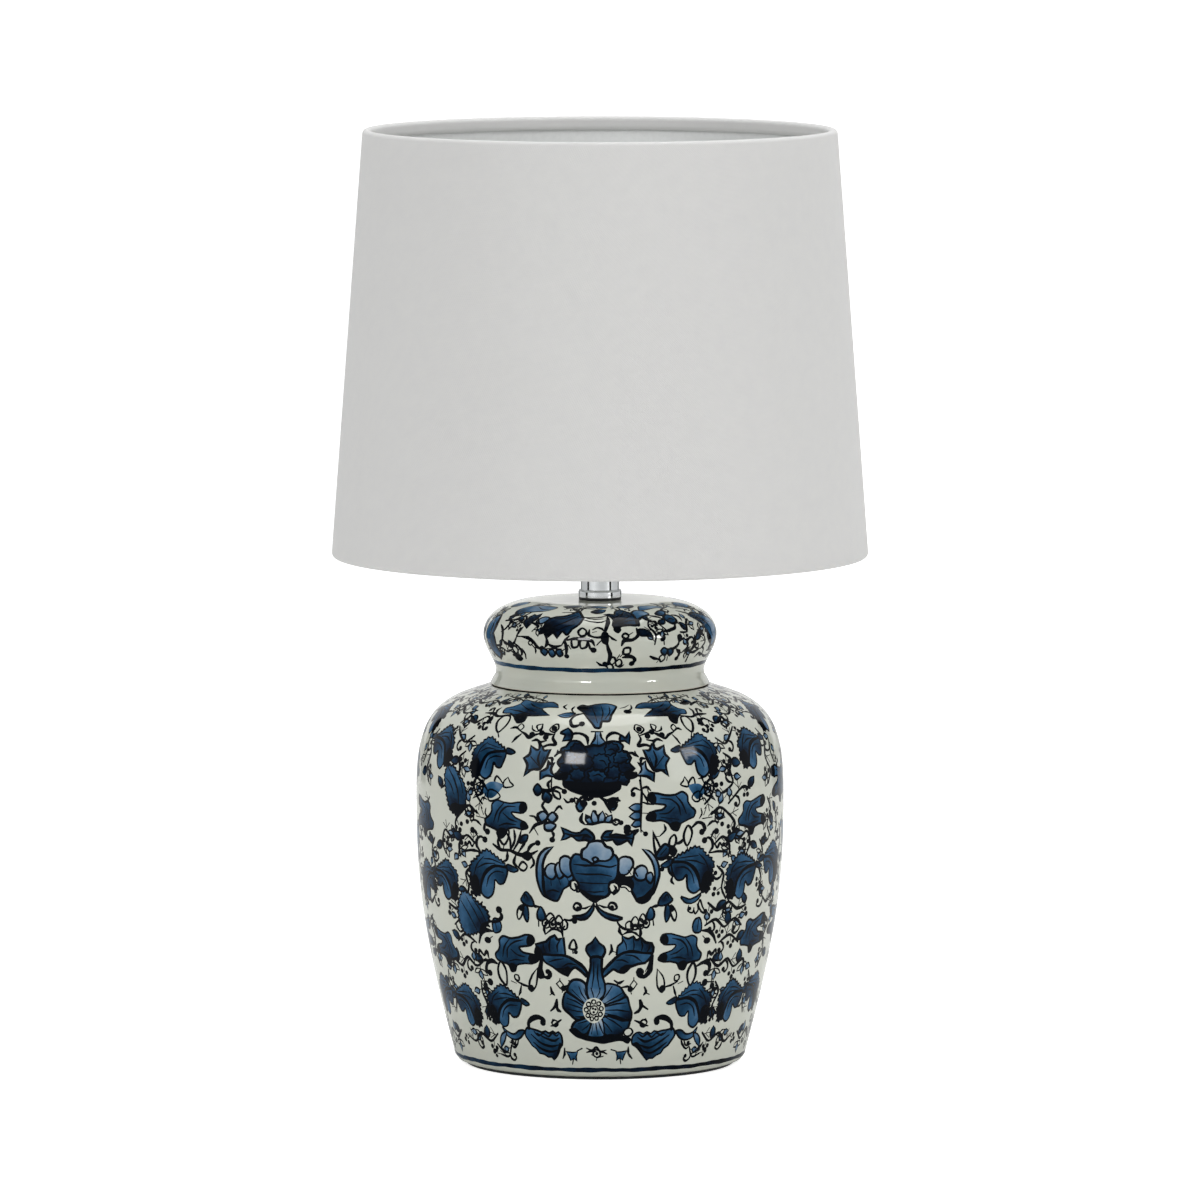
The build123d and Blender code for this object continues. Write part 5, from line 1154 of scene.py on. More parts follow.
# the wander of a hand to the side and up: two waves each, with size, number round the jar, slant and start
wander = [((0.4, 19, 9, 0), (0.25, 41, -5, 0)), ((0.4, 23, 8, 1), (0.25, 37, 6, 2))]
# the painter's left half stands wider at the shoulder and narrower near the foot
leftHalf = {"shift": 4, "wideFrom": (44, 60), "wideAbove": (96, 112), "narrowFrom": (18, 30),
            "narrowBelow": (50, 60), "fadeOut": (90, 130)}


def handWander(points):
    # the same where the two ends meet
    k = turn / wrap
    u, v = points[:, 0], points[:, 1]
    shift = [sum(size * np.sin(k * count * u + v / slant + start) for size, count, slant, start in waves)
             for waves in wander]
    return points + np.stack(shift, axis=1)


def easeIn(x, low, high):
    s = np.clip((x - low) / (high - low), 0, 1)
    return s * s * (3 - 2 * s)


def leftOf(shift):
    # mirrors the right half to the left
    def bend(points):
        u, v = points[:, 0], points[:, 1]
        fade = 1 - easeIn(u, *leftHalf["fadeOut"])
        wider = leftHalf["shift"] * easeIn(u, *leftHalf["wideFrom"]) * easeIn(v, *leftHalf["wideAbove"]) * fade
        narrower = (leftHalf["shift"] * easeIn(u, *leftHalf["narrowFrom"])
                    * (1 - easeIn(v, *leftHalf["narrowBelow"])) * fade)
        return handWander(np.stack([shift + 2 * panelAxis - u - (wider - narrower), v], axis=1))
    return bend


def rightOf(shift):
    return lambda points: handWander(points + np.array([shift, 0.0]))


def bandAround(around, gap, beyond, *edges):
    # a band right round the piece: the bands painted while it turns on the wheel, and the line of painted shade at the
    # lid's joint; an edge is a height and waves of size, number and start
    u = np.arange(-around / 4 - beyond, around * 3 / 4 + beyond, gap)
    k = turn / around
    lower, upper = (np.stack([u, sum((size * np.sin(k * count * u + start) for size, count, start in waves),
                                     height)], axis=1) for height, *waves in edges)
    return np.concatenate([lower, upper[::-1]])


def jarPainting():
    shapes = []
    for shift in (0, half):
        for bend, leaves in ((rightOf(shift), rightLeaves), (leftOf(shift), leftLeaves)):
            over = Canvas(rightOf(shift))
            over.paint(rightMarks if leaves is rightLeaves else leftMarks)
            for motif, u, v, lean, size, flip in leaves:
                over.paint(motifs[motif], (u, v, lean, size, flip))
            canvas = Canvas(bend)
            canvas.above = [edge for edge, mat, _ in over.shapes if mat == washSlot]
            for way, first, size in vines:
                canvas.paintVine(way, first, size)
            canvas.paint(panelMarks)
            shapes += canvas.shapes + over.shapes
    for shift in (0, half):
        canvas = Canvas(rightOf(shift))
        canvas.paint(centreMarks)
        shapes += canvas.shapes
    low, high = -half / 2, wrap - half / 2
    for edge, mat, tone in list(shapes):
        for shift in (wrap, -wrap):
            moved = edge + np.array([shift, 0.0])
            if moved[:, 0].max() > low - 2 and moved[:, 0].min() < high + 2:
                shapes.append((moved, mat, tone and (tone[0] + np.array([shift, 0.0]),) + tone[1:]))
    foot, neck = (bandAround(wrap, jar["bandGap"], jar["bandBeyond"], *jar[name])
                  for name in ("footBand", "jointShadeLine"))
    shapes.append((foot, washSlot, (np.array(jar["footWash"][0]), *jar["footWash"][1:])))
    # the ink line at the lid's joint is painted shade
    shapes.append((neck, inkSlot, None))
    return shapes


cordHole = {"radius": 5.0, "height": 9.5, "corners": 22, "reach": 1.3}  # reach: share of the radius searched


def holeInWall(radiusAt):
    # the round cord hole at the back, seen in the unrolled plane of a wall
    a = np.arange(cordHole["corners"]) * turn / cordHole["corners"]
    x, z = cordHole["radius"] * np.cos(a), cordHole["height"] + cordHole["radius"] * np.sin(a)
    v, r = radiusAt(z)
    return np.stack([jar["unrolledRadius"] * (turn / 2 - np.arcsin(x / r)), v], axis=1)


def roundHole(points, place, loop):
    # the corners round the hole after cutting, in order
    away = np.linalg.norm(points - loop.mean(axis=0), axis=1)
    near = [k for k in np.flatnonzero(away < cordHole["radius"] * cordHole["reach"]) if onEdge(points[k], loop)]
    return sorted(near, key=lambda k: math.atan2(place[k][2] - cordHole["height"], place[k][0]))


bake = {"low": 0.54, "rows": 0.46, "tall": 0.455}  # the bake has two rows, one for each half of the way round


def addPainted(shell, shape, radius, shapes, low, high, gap, holes=()):
    middle = (low[0] + high[0]) / 2
    points, tris, colour, tone = triangulate(shapes, low, high, gap, holes, cut=middle)
    place, normals = unrolled(shape, points, radius)
    second = points[tris][:, :, 0].mean(axis=1) > middle
    for row in (0, 1):
        along = (points[:, 0] - low[0]) / (middle - low[0]) - row
        up = bake["low"] - bake["rows"] * row + bake["tall"] * (points[:, 1] - low[1]) / (high[1] - low[1])
        uvs = np.stack([along, up], axis=1)
        shell.add(place, normals, uvs, tris[second == row], colour[second == row], tone[second == row])
    return points, place


def makeJar():
    shape = Profile(jarOutside)
    low, high = (-half / 2, 0.0), (wrap - half / 2, shape.length)
    segments = jar["ringOfSegments"]
    gap = (wrap / segments, jar["gapUp"])
    shell = Shell()

    def outside(z):
        v = np.interp(z, shape.p[:, 1], shape.s)
        return v, shape.at(v)[0]

    loop = holeInWall(outside)
    points, place = addPainted(shell, shape, jar["unrolledRadius"], jarPainting(), low, high, gap, [loop])
    outerRing = roundHole(points, place, loop)
    # the recess under the foot, with the same hole in its wall; the two are joined by the hole's own wall
    angles = [math.atan2(place[k][2] - cordHole["height"], place[k][0]) for k in outerRing]
    x = cordHole["radius"] * np.cos(angles)
    z = cordHole["height"] + cordHole["radius"] * np.sin(angles)
    recess = jar["recess"]
    wall = recess["radius"]
    inner = np.stack([jar["unrolledRadius"] * (turn / 2 - np.arcsin(x / wall)), -z], axis=1)
    flat, tris, _, _ = triangulate([], (low[0], -recess["ceiling"]), (high[0], -recess["level"]),
                                   (gap[0], jar["recessGapUp"]), [inner])
    a = flat[:, 0] / jar["unrolledRadius"]
    ring3d = np.stack([wall * np.sin(a), -wall * np.cos(a), -flat[:, 1]], axis=1)
    inward = np.stack([-np.sin(a), np.cos(a), 0 * a], axis=1)
    uvs = np.stack([(flat[:, 0] - low[0]) / wrap, 0.93 + 0 * a], axis=1)
    shell.add(ring3d, inward, uvs, tris, [glazeSlot] * len(tris))
    innerPlace = np.stack([x, np.sqrt(wall**2 - x**2), z], axis=1)
    outerPlace = place[outerRing]
    n = len(outerRing)
    normals = -np.stack([np.cos(angles), 0 * x, np.sin(angles)], axis=1)
    faces = [(k, (k + 1) % n, n + (k + 1) % n, n + k) for k in range(n)]
    shell.add(np.concatenate([outerPlace, innerPlace]), np.concatenate([normals, normals]),
              np.full((2 * n, 2), 0.99), faces, [glazeSlot] * n)
    # ledge, neck and rim, then down the inside and under the foot
    ledge, rim, edge, bore = jarOutside[-1], jar["rim"], jar["rimRounding"], jar["neckBore"]
    bends = [(math.cos(b), math.sin(b)) for b in np.linspace(0, turn / 4, 5)]
    turnOut = [(rim[0] - edge * (1 - c), rim[1] - edge * (1 - s)) for c, s in bends]
    turnIn = [(bore + edge * (1 - s), rim[1] - edge * (1 - c)) for c, s in bends]
    inside, tube = jar["inside"], jar["tubeBore"]
    for run, slot, stack in (  # each run with its place in the bake
        ([tuple(ledge), (rim[0], ledge[1])], claySlot, (0.92, 0.921)),
        ([(rim[0], ledge[1])] + turnOut + turnIn + [(bore, inside[0][1])], claySlot, (0.921, 0.93)),
        ([(bore, inside[0][1]), inside[0]], glazeSlot, (0.94, 0.942)),
        (clampedSpline(inside, *jar["insideWays"], jar["insideStep"]), glazeSlot, (0.942, 0.97)),
        ([inside[-1], (tube, inside[-1][1])], glazeSlot, (0.97, 0.98)),
        ([(tube, inside[-1][1]), (tube, recess["ceiling"])], claySlot, (0.98, 0.981)),
        ([(tube, recess["ceiling"]), (wall, recess["ceiling"])], glazeSlot, (0.981, 0.989)),
        ([(wall, recess["level"]), jar["foot"][0]], claySlot, (0.91, 0.912)),
    ):
        shell.revolve(run, slot, stack, segments)
    obj = shell.build("paintedJar", paintedMats, "base")
    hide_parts("jar_body")
    return obj


# ---- the lid

lid = {
    "lip": (61.3, 215.4), "lipInset": 0.4, "lipRounding": (0.25, 0.02, 0.45), "jointGap": 0.35,
    "skirt": (53.6, 57.4, 217.0), "skirtEnd": 58.8,  # inside, outside and level of the flat edge in the neck
    "flare": (59.2, 217.9), "flareLean": -0.35,
    "dome": [(58.1, 220.5), (60.9, 228.8), (65.3, 241.9), (62.3, 250.3), (54.1, 256.5), (34.0, 260.5)],
    "inside": [(34.0, 256.0), (51.85, 252.6), (58.4, 248.05), (60.8, 241.9), (56.4, 229.9), (53.6, 220.5)],
    "bore": 5.4, "plainFrom": 22.0, "paintLift": 5.0,
    "band": ((12.4, (0.15, 11, 0), (0.1, 29, 0)), (15.1, (0.15, 17, 1), (0.1, 37, 0))),
    "bandWash": ((45.0, 10.0), 110, 1.0, 0.6),
    "unrolledRadius": 60.0, "ringOfSegments": 128, "bandGap": 2.4, "bandBeyond": 12, "gapUp": 2.9,
}
# the painted front of the lid, u at the unrolled radius, v up from the skirt's lower edge
lidMarks = [
    # pale leaves at the crown
    leaf("-62,45 -57,41.5 -52,44.5 -44,46.5 -36,49.5 -33,53.5 -42,56 -52,55 -60,51", (-58, 43), 12, 0.85, 0.25, 1.3),
    leaf("28,50 36,51 44,52.5 50,51 48,55 40,57.5 32,57", (30, 51), 14, 0.6, 0.2), line("1 -50,53 -42,50 -36,50.5"),
    leaf("-12,58 -6,60.5 2,60 6,57 0,56 -6,56.5", (-8, 57), 8, 0.9),
    line("1.6 -20,52 -12,54.5 -3,54 5,55.5/1.4 -3,54 -1,57"),
    leaf("66,52 72,56 80,56 84,50 76,47", (70, 50), 12, 0.7, 0.2),
    leaf("-82,54 -76,58 -70,55 -72,49 -79,48", (-76, 50), 10, 0.7, 0.2),
    leaf("-30,57 -24,60.5 -17,61 -19,57.5 -25,55", (-28, 57), 10, 1, 0.6),
    leaf("14,57 21,61 29,60.5 26,56.5 19,55", (27, 58), 10, 1, 0.55),
    leaf("36,44 40,47.5 46,48 44,44.5 39,42.5", (38, 44), 7, 0.9, 0.4),
    leaf("-6,49 -2,52.5 4,52 2,48.5 -3,47.3", (-4, 49), 7, 1, 0.6, 1.1),
    # dark leaf left of the middle
    leaf("-33,30 -31.5,35 -31,40 -27,42.5! -22,43.5 -18,46! -14.5,50.5 -12.3,47 -9.7,42! -11.5,37 -15,33.5! -17.5,30 "
        "-20,32 -22.5,28! -25,31 -28.7,27.7! -30.3,31", (-29, 32), 19, 1, 0.68, 1.6),
    leaf("-37,39.5 -34,42 -31,41.5 -32,37.5 -34.5,36", (-32, 38), 6, 0.5, 0.15),
    line("1.1 -27,34 -20,38 -13,44/1 -24,31.5 -19,35 -14,37/-28,41 -22,41 -16,44"),
    dab("-33,30 -31.5,34 -27,33 -23,30.5 -22.5,28 -25,30.5 -28.7,27.7 -30.3,31"),
    line("2 -25,47.5 -19,48 -14,48.5/2.4 -13,50 -12.5,54 -11,56/1.1 -12,43 -6,42.5 0,43 4,44.5/-10.5,41 -5,39 1,38.7 "
        "4.5,40.5/1 -8,42 -3,41 2,41.5"), ring("1.3 -11.5,32 -9.5,34.3 -7.2,32.5 -7.7,30 -10,29.5"),
    line("-7.3,31 -5.5,29.3/1.4 -5.6,33.5 -5.7,30.3 -3,29 1,29.3 2.5,31.5/1.3 -4,33.3 -1.5,34.7 1,34 2.5,32/1 "
        "-4,31.7 -1.7,32.3"),
    # twigs under it
    line("2 -28.5,28 -28,24.5 -29.3,22.5/1.8 -28,25 -24.5,23 -20,24/1.7 -20,24 -18,27.3 -16,29.5"), dot("1.5 -31,22"),
    leaf("-32,20.5 -30.5,22 -28,20.5 -30,17.5", (-30, 19), 3, 0.9, 0.5, 1.1),
    leaf("-27.5,20.5 -25,21.5 -23.7,19 -26,16.7", (-26, 18), 3, 0.9, 0.5, 1.1),
    leaf("-23,21 -20.5,21.7 -19.7,18.7 -21.7,17.3", (-21, 19), 3, 0.9, 0.5, 1.1),
    line("-31,21.5 -25,22 -20,22/2.3 -18.3,27 -17.3,22 -18,17.3"), dot("1.5 -17.6,17.7"),
    line("1.4 -18.5,22 -20.5,20/1.9 -17.3,27 -12,28.2 -8,27.7 -4,26.7 -2.7,24"), dot("1.7 -3.3,21.7"),
    ring("1.3 -14.3,27.5 -13.7,23 -11.7,23.5 -11.3,27.5/-10,27 -9.3,22.5 -7,23.5 -6.5,27"),
    line("1.7 -6,26.5 -4.7,22.5 -2.3,22/1.3 -16.5,24.5 -15,22/2 -44,27.7 -39,27 -36,25.3 -34,22.5 -31,20.7"),
    ring("1 -39.4,24.5 -38,25.8 -36.6,24.5 -38,23.2"), line("-37,23.5 -35,21 -35.5,18.5"),
    # twig with a dark leaf on the left
    leaf("-46.5,37.5 -44.5,39.5 -43.5,43.7! -41,42.5 -38.7,45! -38.3,41 -40,37 -42.3,32.5! -44.5,34.5",
        (-42, 36), 9, 1, 0.72, 1.4),
    line("1.8 -40.5,36.5 -37.5,36 -34.5,33.7/2.2 -44.7,33.3 -46.5,30.5 -47.7,27.5/1.9 -47.7,27.5 -44,27.7/1.8 "
        "-47.5,27.5 -49.3,23.7 -53,22.3 -58,24.3/1.7 -49,23.5 -46.5,22 -44.5,19.5 -45.5,16.5"),
    ring("1.2 -51,21 -49,22 -47,19.3 -49,17.5"), dab("-50.5,16.5 -48,17.5 -45,14.5 -48,12.5 -50.5,13.5"),
    line("1.5 -52.5,19 -50.5,17 -50.5,14/-44,21 -42.5,17.5 -43,14.5"),
    ring("1 -47.3,19.5 -45.7,20.3 -44.7,17.5 -46.3,16.5"),
    line("1.9 -64,33 -60,30 -59,25.5 -61,21.5 -66,20.7/1.6 -58.7,25 -56,22.5 -53.5,22.7/1.4 -61,29 -57.5,31.5 "
        "-56.5,35"), dot("1.4 -56.5,35.3"),
    # broad leaf at the left edge
    leaf("-72,39 -69,36! -67.5,31 -69,27.5! -66.5,24 -66,20! -63.5,15.5 -67,12.5! -71,14.5 -76,19 -80,26 -79,33",
        (-66, 24), 12, 0.95, 0.4, 1.8), line("-74,35 -73,27 -71,19/1 -70,33 -70.5,26"),
    dab("-72,39 -69,36 -67.5,31 -69,29.5 -70.5,33.5"),
    line("2.6 -61.5,39.3 -58,40.3 -54,41/1.8 -82,20 -85,24 -84,30/2 -80,40 -84,44 -90,45"),
    leaf("-92,22 -90,30 -86,36 -84,30 -87,22", (-88, 24), 10, 0.9, 0.4, 1.3),
    # dark leaf right of the middle, with a pale side
    leaf("21,48 24,50.3 30,49 32,45.5 26.5,43 22.5,40 21.3,35.5 19,38 19.5,44", (20, 38), 12, 0.85, 0.3, 1.3),
    leaf("2.7,46! 5.5,46.5 9,46 10,49.5 14,52.3 18,49! 20.5,46.5 21,41 20.3,36 16,36.3 11.5,35.7! 8.5,33.3 7,36.5! "
        "7.7,41 6.3,43.5", (9, 38), 17, 1, 0.66, 1.6),
    line("1.1 9,39 14,41 20,45/1 9.5,43 14,46 16,49.5/12,37.5 16,39.5 20,40"), dab("7,33.3 9,35.5 11.5,33.5 9.5,31"),
    line("2.3 4.5,44 4.6,39 3.2,34 1.7,29"), dab("1.5,32 3.5,32 4.7,28 3.5,24.5 1.3,25.5 .3,29"),
    line("2.1 3.3,27 4.3,22 5.3,19 4.6,14.5 3.3,11/1.5 4,30.5 6.5,28 8.5,27/.5,27 -1.7,24.5/2.1 19.8,34 20.2,30 "
        "17,27.3 12.3,26.8 11,24"), leaf("21,33 24.5,33 27,31.3 28.3,28! 25.5,29.3 21.5,29.5", (23, 31), 5, 1, 0.85),
    ring("1.3 11.5,29.5 13.3,31 15,29.5 13.3,28"), line("1.3 15,30 17.5,31.5"),
    ring("1.3 12.3,22.3 15.5,22.7 15.3,19.5 12.3,19.3"),
    line("1.3 12,19.5 10.5,17.5/2.4 11.7,17 15.5,17.8 18.7,15.7 17.7,12.7"), dot("1.7 17.3,13"),
    ring("1.2 4.7,15.7 7,17.5 8.3,14.5 6.3,12.7/8.3,14.5 10.5,16 11.7,13 9.7,11.3/1.1 3.7,12.3 6,12.6 7.3,10.3 "
        "5.3,8.9"), line("1.5 9,16.5 10.3,19"), dot("1.5 2.6,13.2"),
    line("1.3 8,12 11,11 13,12.5/1.6 -2,14.5 0,12.5 3,11.5"),
    # twigs on the right
    line("2.2 27,17.3 30,15.7 34,14.7/2 34.3,28.7 34.7,23.7/1.7 34.7,21.5 39,20.7 43.3,22.7 45,26.7"),
    dab("43.5,28.5 46,29 46.7,25.5 44,24.5"), line("2.2 42.7,20.7 45.7,18 44.7,14.3"), dot("1.5 44.7,14.7"),
    leaf("33,20.3 34.5,22 37,20.5 36.3,17.3", (35, 18), 3, 0.9),
    leaf("37.3,20.7 39.5,21.3 41,19 39.3,16.7", (39, 18), 3, 0.9), ring("33,16.5 35,18 36.5,15 34.7,13.3"),
    line("1.3 33,15 32,12.7/38,16.5 38.3,13.7/2.1 30.3,43.7 35,42.2 39.7,39"),
    leaf("39.5,40.5 43,43.3 47,41.5 47.3,37.5 43.7,35.5 40.7,37", (42, 37), 7, 0.95, 0.5, 1.5),
    line("1.1 41,38.5 44,39.5 46.5,38/2.1 34.5,31 39.5,31.7 43.3,33 44.7,35.7/1.8 47.3,42.7 51.5,40.5 51.3,37/1.5 "
        "46,36 49,34.5 50,32.5"), ring("1.3 44,48 47.5,50 49.7,48 47.5,45.7"),
    line("1.5 46,44 46.5,47/3 56.5,27.3 56.3,22 53.3,17.7/2 53.3,17.7 58,17.7 62.3,19.3/3 53.7,16.5 53.3,11.7"),
    dot("1.6 51,19.5"), ring("1.2 57,21 59.5,22.5 60.5,19.7"),
    # broad leaf at the right edge
    leaf("61,40.5! 64.5,36.5 68,33! 69.7,29 70,25! 73,22.3 77,19! 84,22 88,28 84,34.5 76,39 68,42",
        (66, 36), 14, 0.95, 0.35, 1.6),
    line("68,38 74,33 78,25/1 71,37 79,33/2.2 56,46.3 62,42.5 68,36.5/1.6 56,50 64,48 70,43/1.3 63,44 66,46 69,45.5"),
    dab("70,25 73,22.3 77,19 76,23 73,27 70.5,29.5"), line("1.6 66,16 72,13.5 80,14.5"), dot("1.5 80,14.5"),
    leaf("86,14 90,18 93,14 90,10.5", (89, 13), 4, 0.9), line("1.5 60,14 63,16.5 66,15.5"),
]


lidVines = [
    ("-88,30 -84,36 -80,42 -74,46", 0, 0.75), ("-66,18 -61,20 -56,18 -51,20", 2, 0.6),
    ("-80,17 -75,18 -71,20", 1, 0.65), ("-62,36 -56,37 -50,41 -47,46", 3, 0.8), ("-55,32 -50,34 -47,39", 5, 0.65),
    ("-38,31 -35,35", 2, 0.65), ("29,24 30,30 27,35 29,40", 1, 0.75), ("46,30 51,30 53,35 57,38", 4, 0.75),
    ("47,18 51,22 50,26", 2, 0.7), ("63,19 67,23 65,27 60,30", 0, 0.75), ("72,17 78,17 84,20 88,26", 3, 0.7),
    ("88,32 84,38 78,44 70,48", 5, 0.8), ("24,44 27,40 33,37 37,32", 0, 0.7), ("-26,52 -20,56 -12,55", 3, 0.7),
    ("8,54 14,57 22,55", 1, 0.7), ("46,54 54,57 62,55", 4, 0.75), ("-60,58 -52,60 -44,58", 2, 0.7),
]


def lidPainting(around):
    shapes = []
    for shift in (0, around / 2):
        canvas = Canvas(lambda points, shift=shift: points + np.array([shift, lid["paintLift"]]))
        for way, first, size in lidVines:
            canvas.paintVine(way, first, size)
        canvas.bend = lambda points: points
        canvas.paint(lidMarks, (shift, lid["paintLift"], 0, 1, 1))
        shapes += canvas.shapes
    band = bandAround(around, lid["bandGap"], lid["bandBeyond"], *lid["band"])
    shapes.append((band, washSlot, (np.array(lid["bandWash"][0]), *lid["bandWash"][1:])))
    return shapes


def makeLid():
    dome, inside, top = lid["dome"], lid["inside"], lid["dome"][-1]
    # the skirt flares out at its lower edge and stands just clear of the jar's shoulder
    bore, flat, level = lid["skirt"]
    below = [p for p in jarOutside[::-1] if lid["skirtEnd"] < p[0] <= lid["lip"][0] - lid["lipInset"]]
    under = [(bore, level), (flat, level)] + [(p[0], p[1] + lid["jointGap"]) for p in below]
    inset, low, high = lid["lipRounding"]
    lipTurn = [(lid["lip"][0] - inset, under[-1][1] + low), (lid["lip"][0], under[-1][1] + high)]
    flare = clampedSpline([lipTurn[-1], lid["flare"], dome[0]], (lid["flareLean"], 1), (0, 1))
    outside = joinRuns(flare, clampedSpline(dome, (0, 1), (-1, 0)), np.array([top, (lid["plainFrom"], top[1])]))
    shape = Profile(outside)
    around = turn * lid["unrolledRadius"]
    low, high = (-around / 4, 0.0), (around * 3 / 4, shape.length)
    segments = lid["ringOfSegments"]
    shell = Shell()
    gap = (around / segments, lid["gapUp"])
    addPainted(shell, shape, lid["unrolledRadius"], lidPainting(around), low, high, gap)
    tube = lid["bore"]
    for run, slot, stack in (
        ([(lid["plainFrom"], top[1]), (tube, top[1])], glazeSlot, (0.92, 0.94)),
        ([(tube, top[1]), (tube, inside[0][1])], claySlot, (0.94, 0.945)),
        ([(tube, inside[0][1]), inside[0]], glazeSlot, (0.945, 0.96)),
        (clampedSpline(inside, (1, 0), (0, -1), step=2), glazeSlot, (0.96, 0.985)),
        ([inside[-1], (bore, level)], glazeSlot, (0.985, 0.988)),
        (under + lipTurn, claySlot, (0.988, 0.998)),
    ):
        shell.revolve(run, slot, stack, segments)
    obj = shell.build("paintedLid", paintedMats, "base")
    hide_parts("jar_lid")
    return obj


makeJar()
print("stage: jar")
makeLid()
print("stage: lid")


# ---- shade, felt and the finishes of the metal, plastic and glass parts

shade = {
    "bottomWire": (147.6, 287.2), "topWire": (130.1, 521.4),
    "rollMiddle": 2.15, "thickness": 0.5, "tuck": 5.0,
    "threadMm": 1.3,  # real threads are 0.4 mm apart, drawn coarser so that they show
    # painted shade: the fabric's off-white is darkened to this light grey, its darker threads with it
    "colour": "cfcecc", "threadDark": "cccbca",
    "segments": 256, "rollSteps": 11, "wallSteps": 25,
    "seam": (9, 628),  # a face over the seam has corners below the first and past the second of these
}


def makeFabricMat():
    # polyester satin laminated on film: matt, with fine crossing threads; its off-white is darkened to a nearly even
    # light grey, painted shade
    mat, tree, shader = newMaterial("wovenPolyesterShade")
    uv = addNode(tree, "ShaderNodeUVMap", {"uv_map": "cloth"})
    parts = addNode(tree, "ShaderNodeSeparateXYZ", i0=uv.outputs[0])
    waves = []
    for axis in (0, 1):
        angle = addNode(tree, "ShaderNodeMath", {"operation": "MULTIPLY", 1: turn / shade["threadMm"]},
                        i0=parts.outputs[axis])
        waves.append(addNode(tree, "ShaderNodeMath", {"operation": "SINE"}, i0=angle.outputs[0]).outputs[0])
    weave = addNode(tree, "ShaderNodeMath", {"operation": "MULTIPLY"}, i0=waves[0], i1=waves[1])
    slubs = addNode(tree, "ShaderNodeTexNoise", {"Scale": 0.12, "Detail": 3.0, "Roughness": 0.6},
                    Vector=uv.outputs[0])
    total = addNode(tree, "ShaderNodeMath", {"operation": "MULTIPLY_ADD", 1: 0.12}, i0=weave.outputs[0],
                    i2=slubs.outputs["Fac"])
    ramp = setRamp(addNode(tree, "ShaderNodeValToRGB", i0=total.outputs[0]),
                   [(0.25, shade["threadDark"]), (0.75, shade["colour"])])
    tree.links.new(ramp.outputs[0], shader.inputs["Base Color"])
    addBump(tree, shader, weave.outputs[0], 0.25, 0.0002)
    shader.inputs["Roughness"].default_value = 0.88
    shader.inputs["Sheen Weight"].default_value = 0.15
    shader.inputs["Sheen Roughness"].default_value = 0.5
    return mat


def makeShade():
    low, high = np.array(shade["bottomWire"]), np.array(shade["topWire"])
    up = (high - low) / np.linalg.norm(high - low)
    out = np.array([up[1], -up[0]])
    radius, tuck = shade["rollMiddle"], shade["tuck"]
    rolls = np.linspace(0, turn / 2, shade["rollSteps"])
    path = [low - out * radius + up * tuck, low - out * radius + up * tuck / 2]
    path += [low + (-out * math.cos(a) - up * math.sin(a)) * radius for a in rolls]
    path += [low + out * radius + (high - low) * s for s in np.linspace(0, 1, shade["wallSteps"])[1:-1]]
    path += [high + (out * math.cos(a) + up * math.sin(a)) * radius for a in rolls]
    path += [high - out * radius - up * tuck / 2, high - out * radius - up * tuck]
    shape = Profile(path)
    n, m = len(path), shade["segments"]
    verts, faces, uvs = [], [], []
    for side in (1, -1):
        for i in range(n):
            for k in range(m):
                a = turn * k / m
                r, z = shape.p[i] + shape.n[i] * side * shade["thickness"] / 2
                verts.append((r * math.sin(a) * mm, -r * math.cos(a) * mm, z * mm))
                uvs.append((turn * k / m * r, shape.s[i]))
    for i in range(n - 1):
        for k in range(m):
            q = (i * m + k, i * m + (k + 1) % m, (i + 1) * m + (k + 1) % m, (i + 1) * m + k)
            faces.append(q)
            faces.append(tuple(n * m + j for j in reversed(q)))
    for k in range(m):
        faces.append((k, n * m + k, n * m + (k + 1) % m, (k + 1) % m))
        j = (n - 1) * m
        faces.append((j + k, j + (k + 1) % m, n * m + j + (k + 1) % m, n * m + j + k))
    obj = addObject("shadeFabric", verts, faces, [makeFabricMat()], None, "shade")
    cloth = obj.data.uv_layers.new(name="cloth")
    near, far = shade["seam"]
    for poly in obj.data.polygons:
        corners = [obj.data.loops[j].vertex_index for j in poly.loop_indices]
        overSeam = max(uvs[i][0] for i in corners) > far
        for j, i in zip(poly.loop_indices, corners):
            u, v = uvs[i]
            if overSeam and u < near:
                u += turn * math.hypot(*obj.data.vertices[i].co[:2]) / mm
            cloth.data[j].uv = (u, v)
    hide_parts("shade_fabric")


makeShade()
print("stage: shade")

felt = {
    "radius": 75.5, "thickness": 1.5, "segments": 160, "colour": "1d2124", "hair": "34393c",
    "rings": (30, 60), "play": 0.02, "bevel": 0.5, "edge": (0.12, 0.3, 0.35), "fuzz": 0.18,
}


